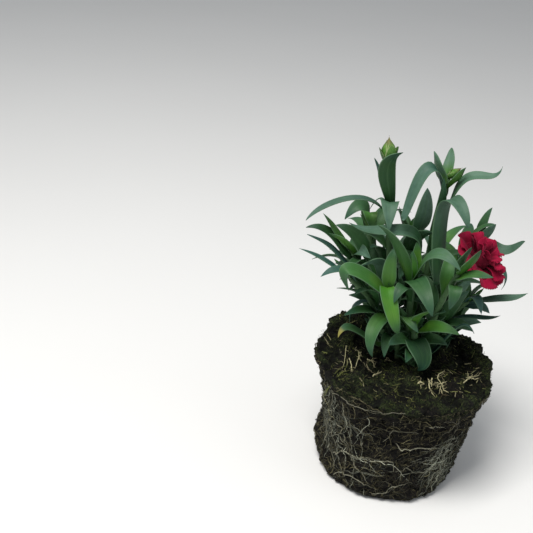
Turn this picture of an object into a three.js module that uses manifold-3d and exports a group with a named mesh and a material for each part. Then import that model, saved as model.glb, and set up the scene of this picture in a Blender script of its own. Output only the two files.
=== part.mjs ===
// A double dianthus in bloom, out of its pot: a bare root ball, leafy stems, two buds and
// one crimson flower. Millimetres, +Z up, origin at the middle of the root ball's underside.

import * as THREE from 'three';
import { mergeVertices } from 'three/addons/utils/BufferGeometryUtils.js';
import Module from 'manifold-3d';

const wasm = await Module();
wasm.setup();

// ---- driving dimensions ----

const BALL_HEIGHT = 76;
const BALL_FOOT_RADIUS = 45.5;
const BALL_TOP_RADIUS = 55;
const BALL_LEAN = 6.5; // how far the top's middle stands off the foot's, along X
const BALL_SIDES = 22;
// How far the wall stands off a plain cone at each height: a rounded foot, and a moss crust
// that juts over a slight hollow.
const WALL_PROFILE = [[0, -1.6], [4, 0.8], [17, 0], [31, -2.3], [45, -2.6], [59, -2.6], [70, -1]];
// Lumps of the wall: height, how many go round, turn with height, and start.
const WALL_LUMPS = [[0.8, 3, 0.06, 0], [0.7, 5, -0.11, 1], [0.5, 9, 0.17, 0]];
// Mounds on the rim of the ball: heading in degrees, how far they jut out, and how high they
// stand up.
const MOUNDS = [
  { heading: 132, out: 13, rise: 12 },
  { heading: 42, out: 4, rise: 2 },
  { heading: -2, out: 2.5, rise: 2.5 },
];
const MOUND_SHARPNESS = 5;
const MOUND_FROM = 28; // a mound rises between these distances from the top's middle
const MOUND_UNTIL = 50;
const CROWN = new THREE.Vector3(9, 12, 0); // the stems come up round here
const CROWN_SWELL = 3; // the soil's rise under the stems
const CROWN_REACH = 26;
const SOIL_SINK = 1.5; // the top's mean depth under the ball's height
const SOIL_FALL = [0.022, -0.015]; // slope of the top along X and Y
// Lumps of the top: height, waves along X and along Y, and start.
const SOIL_LUMPS = [[0.6, 0.21, 0.06, 1.3], [0.6, -0.04, 0.2, 0.4], [0.6, 0.37, -0.29, 0]];
const RIM_DROP = 1.2; // the rim's edge is rounded off by so much
const TOP_RINGS = [0.96, 0.84, 0.62, 0.36]; // of the way from the top's middle to its edge

const STEM_SIDES = 5;
const STEM_STEPS = 5;
const STEM_TAPER = 0.75; // top radius over foot radius
const HOLE_CLEARANCE = 0.35; // round a stem's foot and under it
const HOLE_REACH = 0.5; // share of a stem's length that a hole's cutter takes in

const BLADE_THICKNESS = 1.1; // at the midrib
const BLADE_FOLD = 0.2; // edge lift over half width
const BLADE_ROOT = 0.3; // root width over full width
const BLADE_OPEN = 0.45; // share of its length at which a blade reaches full width
const BLADE_TAPER = 3.6; // a higher one keeps a blade wide until nearer its tip
const BLADE_POINT = 0.85; // a lower one makes the tip blunter
const NAMED_STATIONS = [0, 0.2, 0.4, 0.6, 0.8, 0.93];
const RULE_STATIONS = [0, 0.27, 0.55, 0.84];
const LOWEST_SHARE = 0.22; // of a stem, for the rule's leaves
const GOLDEN_SHARE = 0.618; // of a stem's spread, from one leaf to the next
const GOLDEN_SLACK = 0.12;
const RULE_REACH = [0.85, 1.2]; // of the stem's leaf length, least and most
const RULE_RISE = [0.25, 0.4]; // steepness at a stem's foot, and more towards its top
const RULE_RISE_SLACK = 0.15;
// A rule leaf's middle and tip, over its reach: how far out, what steepness adds to that, how
// high, and what steepness adds to that.
const RULE_MIDDLE = [0.34, 0, 0.28, 0.5];
const RULE_TIP = [0.85, -0.35, 0.15, 0.75];
const RULE_WIDTH = [7.5, 10.5];
const RULE_TURN = 25; // degrees to either side
const LEAF_SEED = 100;
const LEAF_CLEARANCE = 0.35;
const SLIVER = 0.01; // edges shorter than this are closed up after a join
const SAME_POINT = 1e-4;
const TRACE = 1e-4; // cubic millimetres that two solids may share
const STEM_MATE_SHARE = 0.24; // a blade may touch its own stem's leaves below this share
const CROWDED_LEAN = new THREE.Vector3(0, 0.89, -0.45); // a crowded blade's tip leans along this

const ROOT_RADIUS = 1.1;
const ROOT_TAPER = 0.6; // end radius over start radius
const ROOT_SINK = 0.7; // depth of a root's inner edges under its middle, over its radius
const ROOT_STAND = 0.1; // of a root's middle, off the wall
const ROOT_STEPS = 6;

const BLOOM_BASE = new THREE.Vector3(25, 0.25, 138); // where the calyx starts
const BLOOM_AXIS = new THREE.Vector3(0.6, -0.31, 0.74).normalize();
const CALYX_LENGTH = 20;
const CALYX_FOOT_RADIUS = 3;
const CALYX_MOUTH_RADIUS = 5;
const CALYX_WALL = 0.9;
const CALYX_SIDES = 10;
const BUD_SIDES = 8; // also of the petals' core
const CALYX_DEPTH = 9;
const CALYX_SWELL = 0.8; // at half its length
const CALYX_SINK = 2; // its pointed foot stands so deep in the stem
const BLOOM_RADIUS = 20;
const PETAL_THICKNESS = 0.8;
const CLAW_RADIUS = 1.5; // where a petal starts
const CLAW_GAP = 0.3; // between the petals' core and the calyx
const HEART = [[5.5, 3], [5, 8], [0, 10]]; // the core over the calyx mouth: radius and rise

// Each bud: radius, length, how far its foot clears the stem's top, and which way it points.
const BUDS = {
  bud_left: { radius: 4.4, length: 15.3, gap: 0.3, way: [-0.1, 0, 1] },
  bud_right: { radius: 2.4, length: 10.5, gap: 1.2, way: [0.66, -0.28, 0.7] },
};
// A bud's outline, as shares of its radius and its length.
const BUD_PROFILE = [[0, 0], [0.5, 0], [0.92, 0.2], [1, 0.42], [0.7, 0.7], [0.25, 0.9], [0, 1]];

const SOIL = { color: 0x2a1f18, roughness: 1, metalness: 0 };
const LEAF = { color: 0x44704a, roughness: 0.55, metalness: 0 };
const BUD = { color: 0x86a84e, roughness: 0.5, metalness: 0 };
const CRIMSON = { color: 0xa00b20, roughness: 0.6, metalness: 0 };

// Each stem: its axis as foot, middle and top, its foot radius, and the leaves that the rule
// adds, as how many, the middle heading in degrees, the headings' half spread, the length and
// the highest share of the stem that they grow at.
// Each named leaf: share up the stem, points from midway to the tip, width, the turn of its
// face in degrees, and the share of its length that it opens over, where that isn't the usual.
const STEMS = {
  bud_left: {
    axis: [[6, 15, 66], [-14, 15, 160], [-20, 14, 206]], radius: 2.4, more: [4, 60, 110, 34, 0.6],
    leaves: [
      [0.76, [[-19.5, 7, 194], [-21, 3, 208.7], [-14.5, -2, 217.5]], 13.5, 0, 0.8],
      [0.8, [[-24.5, 12, 199.5], [-29, 11, 208.3]], 4, 35],
      [0.72, [[-17.5, 4, 183.5], [-17.6, -9, 171]], 12, 0],
      [0.64, [[-29, 9, 182], [-46, 3, 183.5], [-66.5, -9, 174]], 8, 0],
      [0.7, [[-22.5, 12, 183], [-26.5, 10, 177]], 3.5, 0],
      [0.69, [[-13.5, 12, 181.5], [-9.3, 10, 182.7]], 3, 0],
    ],
  },
  bud_right: {
    axis: [[13, 15, 66], [14, 14, 158], [16, 13, 198]], radius: 2.3, more: [4, 60, 110, 34, 0.6],
    leaves: [
      [0.93, [[8, 10, 208], [5, 11, 215]], 8.5, 32],
      [0.95, [[17.6, 16, 209.5], [19.2, 18, 217.6]], 7.5, -30],
      [0.94, [[20.5, 8, 200.5], [24.5, 7, 208]], 6, -30],
      [0.92, [[10.5, 6.5, 200], [4, 3.5, 207.5], [-3.4, 0, 198.5], [-10.8, -4, 179.5]], 8.5, -20],
      [0.55, [[13.5, 9.5, 171], [13.3, 8.5, 187], [11.8, 8.5, 199.5]], 7.5, 0],
      [0.6, [[15, 4, 180], [18, -1, 190.5], [22.5, -9, 188], [26.5, -14, 178.5]], 13.5, 12],
      [0.86, [[23.5, 9, 196.5], [30, 8, 202.3], [37.5, 6.5, 203.5], [44.8, 5, 211]], 7.5, 25],
    ],
  },
  back_mid: {
    axis: [[8, 23, 66], [4, 26, 129], [2, 28, 155]], radius: 2, more: [5, 90, 150, 36, 0.85],
    leaves: [
      [0.9, [[8, 25, 168], [7, 24, 187]], 12, -40],
      [0.77, [[1, 18, 151], [4, 10, 161], [11, 3, 167]], 10.5, -35],
      [0.85, [[-4.8, 20, 165], [-9.5, 18, 176]], 8, 0],
    ],
  },
  right_back: {
    axis: [[24, 23, 66], [39, 30, 133], [49, 34, 150]], radius: 2, more: [6, 60, 90, 36, 0.9],
    leaves: [
      [0.97, [[48, 34, 163], [52, 36, 172]], 7.5, 0],
      [0.94, [[50, 26, 160], [53, 24, 166]], 8.5, -25],
      [0.9, [[52, 29, 150.5], [59, 26, 148], [65.5, 23, 150.5], [71.5, 19, 158]], 8, 35],
      [0.7, [[59.8, 22, 138], [63, 18, 134], [61.3, 14, 125.5]], 6, 0],
    ],
  },
  right_front: {
    axis: [[17, 5.5, 66], [20, -11, 129], [24, -24, 154]], radius: 2, more: [3, 110, 50, 30, 0.8],
    leaves: [
      [0.97, [[27.5, -33, 166], [30.5, -37, 176]], 6.5, -15],
      [0.93, [[25, -27, 167], [27, -30, 174]], 6, -5],
      [0.88, [[32, -36, 160], [39, -42, 162]], 7, 35],
      [0.84, [[22, -30, 146], [20, -32, 134]], 8.5, 0],
    ],
  },
  right_low: {
    axis: [[21.5, 13, 66], [30, 12, 102], [40, 8, 119]], radius: 1.9, more: [3, 60, 60, 30, 0.8],
    leaves: [
      [0.99, [[53, 4, 123.5], [63.5, 0, 127.5], [72.6, -4, 134]], 7.5, 10],
      [0.94, [[43, 2, 125], [47.3, -3.5, 116.5]], 8.5, 0],
      [0.85, [[47.5, 9.5, 116], [55.8, 9, 111]], 8, 25],
      [0.56, [[41, 7, 108], [51, 4, 110], [60.3, 1, 114.5]], 7, -8],
      [0.5, [[28, 0, 118], [37, -4, 133]], 11.5, -40],
      [0.45, [[37, -1, 107], [44, -5, 105]], 9, 25],
    ],
  },
  front: {
    axis: [[9.5, 4.5, 66], [3, -1, 118], [2, -4, 140]], radius: 2.1, more: [3, 80, 60, 30, 0.7],
    leaves: [
      [0.98, [[2, -3, 152], [1, -1, 162]], 7.5, 0],
      [0.94, [[-1, -9, 151], [-2, -10, 160]], 7.5, 0],
      [0.81, [[-7, -9, 154], [-15, -13, 168], [-26, -17, 178]], 9, 30],
      [0.88, [[-11, 0, 168], [-25, -3, 168], [-41, -5, 173]], 9.5, -35],
      [0.79, [[5, -9, 151], [11, -17, 162], [23, -26, 156.5]], 11.5, 40],
      [0.73, [[2, -14, 142], [5, -25, 140], [10, -30, 128]], 12.5, 20],
      [0.69, [[-5, -12, 138], [-9, -17, 132]], 9.5, 0],
    ],
  },
  front_left: {
    axis: [[2.5, 8, 66], [-6, -3, 112], [-12, -7, 131]], radius: 2, more: [2, 180, 50, 30, 0.95],
    leaves: [
      [0.95, [[-14, -11, 148], [-11.3, -8, 161]], 9.5, 0],
      [0.81, [[-14, -16, 135], [-11, -26, 127], [-5, -30, 114]], 11, 0],
      [0.42, [[-14, -8, 112], [-20, -18, 109], [-19, -24, 93]], 11.5, 0],
      [0.3, [[-9, -8, 98], [-11, -17, 89]], 9, 0],
      [0.78, [[-24, -10, 138], [-40.6, -17, 148], [-37, -15, 133]], 11.5, -35],
    ],
  },
  left_high: {
    axis: [[0, 14.5, 66], [-19, 12, 124], [-34, 9, 145]], radius: 2, more: [4, 150, 70, 34, 0.92],
    leaves: [
      [0.99, [[-47.8, 6, 162.6], [-56.1, 5, 173.6]], 6, -40],
      [0.96, [[-43.5, -1, 159.5], [-52, -3, 164.5]], 5.5, 35],
      [0.9, [[-46, 4, 157], [-56, 1, 166], [-65.8, -2, 166.8]], 7.5, -45],
      [0.84, [[-36, 14, 158], [-47, 15, 162]], 10.5, -45],
      [0.93, [[-31, 0, 153], [-26, -8, 152]], 8.5, 40],
    ],
  },
  left_low: {
    axis: [[-5, 10.5, 66], [-20, 5, 115], [-35, 1, 133]], radius: 1.9, more: [3, 190, 70, 34, 0.95],
    leaves: [
      [0.9, [[-50, 3, 152.5], [-64.7, 0, 161.4]], 6, -15],
      [0.98, [[-54, -2, 146.3], [-69, -4, 153.7]], 5, -10],
      [0.94, [[-46.5, -9, 143.5], [-55, -12, 139.3]], 6.5, -15],
      [0.69, [[-26, 8, 113], [-32, 10, 97]], 6.5, -20],
      [0.61, [[-24, -3, 147], [-36, -8, 143]], 10, 45],
      [0.38, [[-23.5, 2, 111.8], [-38.7, -5, 110.3]], 8.5, -15],
      [0.28, [[-28, -4, 99], [-36.3, -8, 103], [-40.3, -12, 97.5]], 8, -25],
    ],
  },
  back_left: {
    axis: [[0.5, 21.5, 66], [-18, 28, 134], [-25, 34, 153]], radius: 2, more: [6, 130, 120, 38, 0.95],
    leaves: [
      [0.91, [[-34, 28, 170], [-41, 24, 162]], 10, -45],
      [0.95, [[-26, 26, 171], [-23, 18, 162]], 11, 0],
    ],
  },
  bloom: {
    axis: [[17.5, 20.5, 66], [21, 12, 108], [25, 0.25, 138]], radius: 1.9, more: [4, 50, 60, 32, 0.8],
    leaves: [],
  },
  rosette: {
    axis: [[9.5, -3, 66], [8.5, -4, 86], [7.5, -5, 104]], radius: 2.4, more: [3, -60, 50, 26, 0.95],
    leaves: [
      [0.85, [[19, -16, 113], [31, -24, 113]], 9, 40],
      [0.5, [[30, -4, 101], [38, -8.5, 110.7], [43, -11, 106.8]], 6, 0],
      [0.4, [[30, -7, 96.5], [38, -12.5, 98], [40, -14, 105]], 7, 20],
      [0.6, [[7.5, -10, 97.5], [11.5, -15.5, 93.5], [10.5, -19, 82.5]], 15, 0],
      [0.7, [[-3, -12, 100], [-10, -18, 99]], 9, -30],
      [0.9, [[1, -12, 115], [7, -20, 110]], 9, 0],
      [0.97, [[6, -14, 119], [10, -18, 125]], 6, 5],
    ],
  },
  rear_left: {
    axis: [[-7, 19, 66], [-24, 36, 104], [-34, 46, 114]], radius: 1.9, more: [8, 130, 130, 40, 0.95],
    leaves: [],
  },
  rear_mid: {
    axis: [[5, 30, 66], [-2, 44, 108], [-6, 52, 122]], radius: 1.9, more: [8, 95, 130, 40, 0.95],
    leaves: [],
  },
  rear_right: {
    axis: [[15, 29, 66], [22, 46, 108], [26, 54, 122]], radius: 1.9, more: [8, 75, 130, 40, 0.95],
    leaves: [],
  },
  rear_low: {
    axis: [[28, 16, 66], [42, 29, 94], [50, 36, 104]], radius: 1.9, more: [6, 75, 80, 30, 0.95],
    leaves: [],
  },
};

// Long roots on the wall of the ball: heading in degrees and height, from end to end.
const ROOTS = [
  [[-138, 66], [-126, 66], [-112, 67], [-100, 70]],
  [[-138, 28], [-128, 32], [-120, 29], [-106, 33], [-93, 31]],
  [[-96, 50], [-90, 44], [-76, 47], [-60, 45]],
  [[-141, 6], [-130, 12], [-116, 12], [-102, 10]],
  [[-98, 6], [-89, 11], [-71, 13]],
  [[-154, 66], [-150, 52], [-144, 32], [-141, 15]],
  [[-147, 68], [-136, 58], [-128, 40]],
  [[-161, 62], [-157, 46], [-150, 26]],
  [[-52, 58], [-51, 40], [-54, 12]],
  [[-58, 70], [-57, 57], [-66, 50]],
  [[-125, 27], [-117, 18], [-110, 9]],
];
const MORE_ROOTS = 5; // round the side and back, by rule
const MORE_ROOTS_FROM = -35; // degrees
const MORE_ROOTS_SPAN = 215;
const MORE_ROOTS_HEIGHT = [14, 60];
const STEEP_STEP = [5, -11]; // degrees and millimetres from one stop to the next
const LEVEL_STEP = 13; // degrees
const STOP_SLACK = [6, 5]; // degrees and millimetres
const ROOT_LOWEST = 6;
const ROOT_SEED = 11;

// ---- seeded numbers ----

// A small seeded generator of numbers from 0 to 1.
function seeded(seed) {
  let state = seed >>> 0;
  return () => {
    state = (state + 0x6d2b79f5) >>> 0;
    let mixed = state;
    mixed = Math.imul(mixed ^ (mixed >>> 15), mixed | 1);
    mixed ^= mixed + Math.imul(mixed ^ (mixed >>> 7), mixed | 61);
    return ((mixed ^ (mixed >>> 14)) >>> 0) / 4294967296;
  };
}

// ---- geometry helpers ----

const vector = (point) => new THREE.Vector3(...point);
const radians = THREE.MathUtils.degToRad;

// A smooth curve through its points, each reached at its share of the chords' length.
class ThroughPoints extends THREE.Curve {
  constructor(points) {
    super();
    this.points = points;
    this.shares = [0];
    for (let i = 1; i < points.length; i += 1) {
      this.shares.push(this.shares[i - 1] + points[i].distanceTo(points[i - 1]));
    }
    const total = this.shares.at(-1);
    this.shares = this.shares.map((share) => share / total);
  }

  getPoint(t, target = new THREE.Vector3()) {
    target.set(0, 0, 0);
    this.points.forEach((point, i) => {
      let weight = 1;
      this.shares.forEach((share, j) => {
        if (j !== i) weight *= (t - share) / (this.shares[i] - share);
      });
      target.addScaledVector(point, weight);
    });
    return target;
  }
}

// A closed geometry from a list of points and a list of triangles of their indices.
function geometryFrom(points, triangles) {
  const geometry = new THREE.BufferGeometry();
  const numbers = points.flatMap((point) => [point.x, point.y, point.z]);
  geometry.setAttribute('position', new THREE.Float32BufferAttribute(numbers, 3));
  geometry.setIndex(triangles.flat());
  return geometry;
}

// Skin through rings of points, counter-clockwise seen from the last ring. A ring of one
// point is a tip. The first and last rings are capped.
function skin(rings) {
  const points = rings.flat();
  const triangles = [];
  const starts = [];
  let next = 0;
  for (const ring of rings) {
    starts.push(next);
    next += ring.length;
  }
  for (let i = 0; i + 1 < rings.length; i += 1) {
    const count = rings[i].length;
    const [low, high] = [starts[i], starts[i + 1]];
    for (let j = 0; j < count; j += 1) {
      const k = (j + 1) % count;
      if (rings[i + 1].length === 1) {
        triangles.push([low + j, low + k, high]);
      } else if (j % 2 === 0) {
        // neighbouring sides are split towards the same point, so both faces split alike
        triangles.push([low + j, low + k, high + k], [low + j, high + k, high + j]);
      } else {
        triangles.push([low + j, low + k, high + j], [low + k, high + k, high + j]);
      }
    }
  }
  const cap = (start, count, turned) => {
    for (let j = 1; j + 1 < count; j += 1) {
      const fan = [start, start + j, start + j + 1];
      triangles.push(turned ? fan.reverse() : fan);
    }
  };
  cap(starts[0], rings[0].length, true);
  cap(starts.at(-1), rings.at(-1).length, false);
  return geometryFrom(points, triangles);
}

// The manifold solid of a closed geometry.
function solidOf(geometry) {
  const bare = geometry.clone();
  bare.deleteAttribute('normal');
  bare.deleteAttribute('uv');
  const merged = mergeVertices(bare, SAME_POINT);
  const solid = new wasm.Manifold(new wasm.Mesh({
    numProp: 3,
    vertProperties: new Float32Array(merged.attributes.position.array),
    triVerts: new Uint32Array(merged.index.array),
  }));
  return solid;
}

// Several solids as one, without the sliver edges, loose scraps or sealed hollows that
// joining leaves.
function joined(solids) {
  const whole = wasm.Manifold.union(solids).asOriginal().simplify(SLIVER);
  const bodies = whole.decompose();
  bodies.sort((a, b) => b.volume() - a.volume());
  return bodies[0];
}

// A named mesh of a manifold solid.
function meshOf(name, solid, look) {
  const { vertProperties, triVerts } = solid.getMesh();
  const geometry = new THREE.BufferGeometry();
  geometry.setAttribute('position', new THREE.Float32BufferAttribute(vertProperties, 3));
  geometry.setIndex(Array.from(triVerts));
  geometry.computeVertexNormals();
  const mesh = new THREE.Mesh(geometry, new THREE.MeshStandardMaterial(look));
  mesh.name = name;
  return mesh;
}

// A frame across a curve at t: the way along it, and two directions square to that.
function across(curve, t, sideways) {
  const along = curve.getTangent(t).normalize();
  const side = sideways.clone().addScaledVector(along, -sideways.dot(along)).normalize();
  const up = new THREE.Vector3().crossVectors(along, side);
  return { along, side, up };
}

// A round ring of points about a curve.
function roundRing(curve, t, radius, sides, sideways) {
  const { side, up } = across(curve, t, sideways);
  const middle = curve.getPoint(t);
  return Array.from({ length: sides }, (_, i) => {
    const angle = (2 * Math.PI * i) / sides;
    return middle.clone()
      .addScaledVector(side, radius * Math.cos(angle))
      .addScaledVector(up, radius * Math.sin(angle));
  });
}

// ---- leaves ----

// How far a blade has opened from its root: 0 there, 1 from the share `over` on.
function opened(t, over) {
  const rise = Math.min(1, t / over);
  return rise * rise * (3 - 2 * rise);
}

// Width of a blade along it, over its full width: a narrow root, widest near the middle, and
// a pointed tip.
function bladeWidth(t, over) {
  const wide = BLADE_ROOT + (1 - BLADE_ROOT) * opened(t, over);
  return wide * Math.max(0, 1 - t ** BLADE_TAPER) ** BLADE_POINT;
}

// Four corners of a blade's section: one edge, the upper midrib, the other edge, the keel.
function bladeRing(curve, t, leaf, extra) {
  const over = leaf.open ?? BLADE_OPEN;
  const turn = radians(leaf.turn) * opened(t, over);
  const { side, up } = across(curve, t, leaf.sideways);
  const wide = side.clone().multiplyScalar(Math.cos(turn)).addScaledVector(up, Math.sin(turn));
  const high = up.clone().multiplyScalar(Math.cos(turn)).addScaledVector(side, -Math.sin(turn));
  const half = (leaf.width * bladeWidth(t, over)) / 2;
  const lift = half * BLADE_FOLD;
  const middle = curve.getPoint(t);
  const at = (out, above) => middle.clone().addScaledVector(wide, out).addScaledVector(high, above);
  const thick = BLADE_THICKNESS / 2 + extra;
  return [at(half + extra, lift), at(0, thick), at(-half - extra, lift), at(0, -thick)];
}

// A blade from one share of its length to the tip, swollen by extra to test its room.
function blade(leaf, from = 0, extra = 0) {
  const curve = new ThroughPoints(leaf.points);
  const stations = leaf.stations.filter((t) => t >= from);
  const rings = stations.map((t) => bladeRing(curve, t, leaf, extra));
  const tip = curve.getPoint(1).addScaledVector(curve.getTangent(1), extra);
  return solidOf(skin([...rings, [tip]]));
}

// A leaf's sideways direction: level, and square to the way from its root to its tip.
function levelSide(points) {
  const way = points.at(-1).clone().sub(points[0]);
  return new THREE.Vector3(-way.y, way.x, 0).normalize();
}

// Ways to bend a leaf from its drawn place, least first: the tip's lean in millimetres, and
// turns about the root, level and upright, in degrees.
const NAMED_BENDS = [0, 2, -2, 4, -4, 6, -6, 8, -8, 11, -11, 14, -14, 18, -18]
  .map((lean) => ({ lean, swing: 0, lift: 0 }));
for (const size of [9, 16, 24]) {
  for (const [swing, lift] of [[1, 0], [-1, 0], [0, 1], [0, -1], [1, 1], [-1, 1]]) {
    NAMED_BENDS.push({ lean: 0, swing: swing * size, lift: lift * size });
  }
}
const RULE_BENDS = [{ lean: 0, swing: 0, lift: 0 }];
for (const size of [8, 15, 23]) {
  for (const [swing, lift] of [[1, 0], [-1, 0], [0, 1], [0, -1], [1, 1], [-1, 1], [1, -1], [-1, -1]]) {
    RULE_BENDS.push({ lean: 0, swing: swing * size, lift: lift * size });
  }
}

// A copy of a leaf's points, bent.
function bent(points, { lean, swing, lift }) {
  const root = points[0];
  const side = levelSide(points);
  const upright = new THREE.Vector3(0, 0, 1);
  return points.map((point, i) => {
    const arm = point.clone().sub(root);
    arm.applyAxisAngle(side, -radians(lift));
    arm.applyAxisAngle(upright, radians(swing));
    return arm.add(root).addScaledVector(CROWDED_LEAN, (lean * i) / (points.length - 1));
  });
}

// The leaf that the rule puts on a stem: it stands up more the higher it grows.
function ruleLeaf(stem, curve, index, draw) {
  const [count, heading, spread, length, highest] = stem.more;
  const share = LOWEST_SHARE + ((highest - LOWEST_SHARE) * (index + 0.5)) / count;
  const golden = (index * GOLDEN_SHARE + draw() * GOLDEN_SLACK) % 1;
  const angle = radians(heading + spread * (2 * golden - 1));
  const reach = length * THREE.MathUtils.lerp(...RULE_REACH, draw());
  const rise = RULE_RISE[0] + RULE_RISE[1] * share + RULE_RISE_SLACK * draw();
  const out = new THREE.Vector3(Math.cos(angle), Math.sin(angle), 0);
  const root = curve.getPoint(share);
  const stop = ([far, farther, high, higher]) => root.clone()
    .addScaledVector(out, reach * (far + farther * rise))
    .add(new THREE.Vector3(0, 0, reach * (high + higher * rise)));
  const points = [root, stop(RULE_MIDDLE), stop(RULE_TIP)];
  const width = THREE.MathUtils.lerp(...RULE_WIDTH, draw());
  return { points, width, turn: RULE_TURN * (2 * draw() - 1), stations: RULE_STATIONS };
}

// ---- root ball ----

// How far the mounds jut out, or how high they rise, at a heading.
function mounded(angle, key) {
  return MOUNDS.reduce((sum, mound) => {
    const near = Math.max(0, Math.cos(angle - radians(mound.heading)));
    return sum + mound[key] * near ** MOUND_SHARPNESS;
  }, 0);
}

// Height of the soil's top: a low swell at the crown, mounds at the rim, a slight slope, and
// lumps.
function soilTop(x, y) {
  const off = Math.hypot(x - CROWN.x, y - CROWN.y) / CROWN_REACH;
  const swell = CROWN_SWELL * Math.exp(-off * off);
  const lumps = SOIL_LUMPS.reduce((sum, [size, alongX, alongY, start]) => (
    sum + size * Math.sin(alongX * x + alongY * y + start)), 0);
  const slope = SOIL_FALL[0] * (x - BALL_LEAN) + SOIL_FALL[1] * y;
  const far = THREE.MathUtils.smoothstep(Math.hypot(x - BALL_LEAN, y), MOUND_FROM, MOUND_UNTIL);
  const rise = far * mounded(Math.atan2(y, x - BALL_LEAN), 'rise');
  return BALL_HEIGHT - SOIL_SINK + swell + lumps + slope + rise;
}

// How far the wall stands off a plain cone at a height.
function wallOffset(height) {
  for (let i = 1; i < WALL_PROFILE.length; i += 1) {
    const [[low, start], [high, end]] = [WALL_PROFILE[i - 1], WALL_PROFILE[i]];
    if (height <= high) return THREE.MathUtils.mapLinear(height, low, high, start, end);
  }
  return WALL_PROFILE.at(-1)[1];
}

// Radius of the ball's wall: it widens upward, with shallow lumps and with mounds.
function wallRadius(angle, height) {
  const share = height / BALL_HEIGHT;
  const lumps = WALL_LUMPS.reduce((sum, [size, waves, turn, start]) => (
    sum + size * Math.sin(waves * angle + turn * height + start)), 0);
  const cone = BALL_FOOT_RADIUS + (BALL_TOP_RADIUS - BALL_FOOT_RADIUS) * share;
  return cone + wallOffset(height) + lumps + mounded(angle, 'out') * share ** 4;
}

// A point on the ball's wall, pushed out by so much.
function onWall(angle, height, out = 0) {
  const radius = wallRadius(angle, height) + out;
  const middle = (BALL_LEAN * height) / BALL_HEIGHT;
  return new THREE.Vector3(middle + radius * Math.cos(angle), radius * Math.sin(angle), height);
}

// The bare ball: wall rings from the flat foot up, a rounded shoulder, then the top's rings.
function soilSolid() {
  const angles = Array.from({ length: BALL_SIDES }, (_, i) => (2 * Math.PI * i) / BALL_SIDES);
  const rings = WALL_PROFILE.map(([height]) => angles.map((angle) => onWall(angle, height)));
  TOP_RINGS.forEach((inward, i) => {
    rings.push(angles.map((angle) => {
      const edge = onWall(angle, BALL_HEIGHT);
      const x = BALL_LEAN + (edge.x - BALL_LEAN) * inward;
      const y = edge.y * inward;
      return new THREE.Vector3(x, y, soilTop(x, y) - (i === 0 ? RIM_DROP : 0));
    }));
  });
  rings.push([new THREE.Vector3(BALL_LEAN, 0, soilTop(BALL_LEAN, 0))]);
  return solidOf(skin(rings));
}

// A root that runs along the wall of the ball, half sunk in it.
function rootSolid(stops) {
  const curve = new THREE.CatmullRomCurve3(stops.map(([angle, height]) => onWall(radians(angle), height)));
  const path = Array.from({ length: ROOT_STEPS + 1 }, (_, i) => {
    const point = curve.getPoint(i / ROOT_STEPS);
    const middle = (BALL_LEAN * point.z) / BALL_HEIGHT;
    return onWall(Math.atan2(point.y, point.x - middle), point.z, ROOT_STAND);
  });
  const rings = path.map((point, i) => {
    const along = path[Math.min(i + 1, ROOT_STEPS)].clone().sub(path[Math.max(i - 1, 0)]).normalize();
    const out = new THREE.Vector3(point.x - (BALL_LEAN * point.z) / BALL_HEIGHT, point.y, 0).normalize();
    const side = new THREE.Vector3().crossVectors(along, out).normalize();
    const radius = ROOT_RADIUS * THREE.MathUtils.lerp(1, ROOT_TAPER, i / ROOT_STEPS);
    const sunk = point.clone().addScaledVector(out, -radius * ROOT_SINK);
    return [
      point.clone().addScaledVector(out, radius),
      sunk.clone().addScaledVector(side, radius),
      sunk.clone().addScaledVector(side, -radius),
    ];
  });
  return solidOf(skin(rings));
}

// Roots that the rule adds where no named one lies, on the side and back of the ball.
function ruleRoots() {
  const draw = seeded(ROOT_SEED);
  return Array.from({ length: MORE_ROOTS }, (_, i) => {
    const start = MORE_ROOTS_FROM + (MORE_ROOTS_SPAN * (i + 0.5)) / MORE_ROOTS;
    const height = THREE.MathUtils.lerp(...MORE_ROOTS_HEIGHT, draw());
    const step = draw() > 0.5 ? STEEP_STEP : [LEVEL_STEP, STOP_SLACK[1] * (draw() - 0.5)];
    return [0, 1, 2, 3].map((k) => [
      start + k * step[0] + STOP_SLACK[0] * (draw() - 0.5),
      Math.max(ROOT_LOWEST, height + k * step[1] + STOP_SLACK[1] * (draw() - 0.5)),
    ]);
  });
}

// ---- stems ----

// A stem's axis as a curve.
const stemCurve = (stem) => new ThroughPoints(stem.axis.map(vector));

// A tapered stem, or the hole for its foot when it is swollen and starts lower.
function stemSolid(stem, extra = 0, until = 1) {
  const curve = stemCurve(stem);
  const rings = Array.from({ length: STEM_STEPS + 1 }, (_, i) => {
    const t = (until * i) / STEM_STEPS;
    const radius = stem.radius * (1 - (1 - STEM_TAPER) * t) + extra;
    return roundRing(curve, t, radius, STEM_SIDES, new THREE.Vector3(1, 0, 0));
  });
  if (extra > 0) {
    const drop = curve.getTangent(0).multiplyScalar(-extra);
    rings[0].forEach((point) => point.add(drop));
  }
  return solidOf(skin(rings));
}

// ---- flower and buds ----

// A turned solid about an axis: profile of radius and distance along the axis from base.
function turned(profile, sides, base, axis) {
  const geometry = new THREE.LatheGeometry(profile.map(([r, h]) => new THREE.Vector2(r, h)), sides);
  const turn = new THREE.Quaternion().setFromUnitVectors(new THREE.Vector3(0, 1, 0), axis);
  geometry.applyQuaternion(turn);
  geometry.translate(base.x, base.y, base.z);
  return solidOf(geometry);
}

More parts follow.
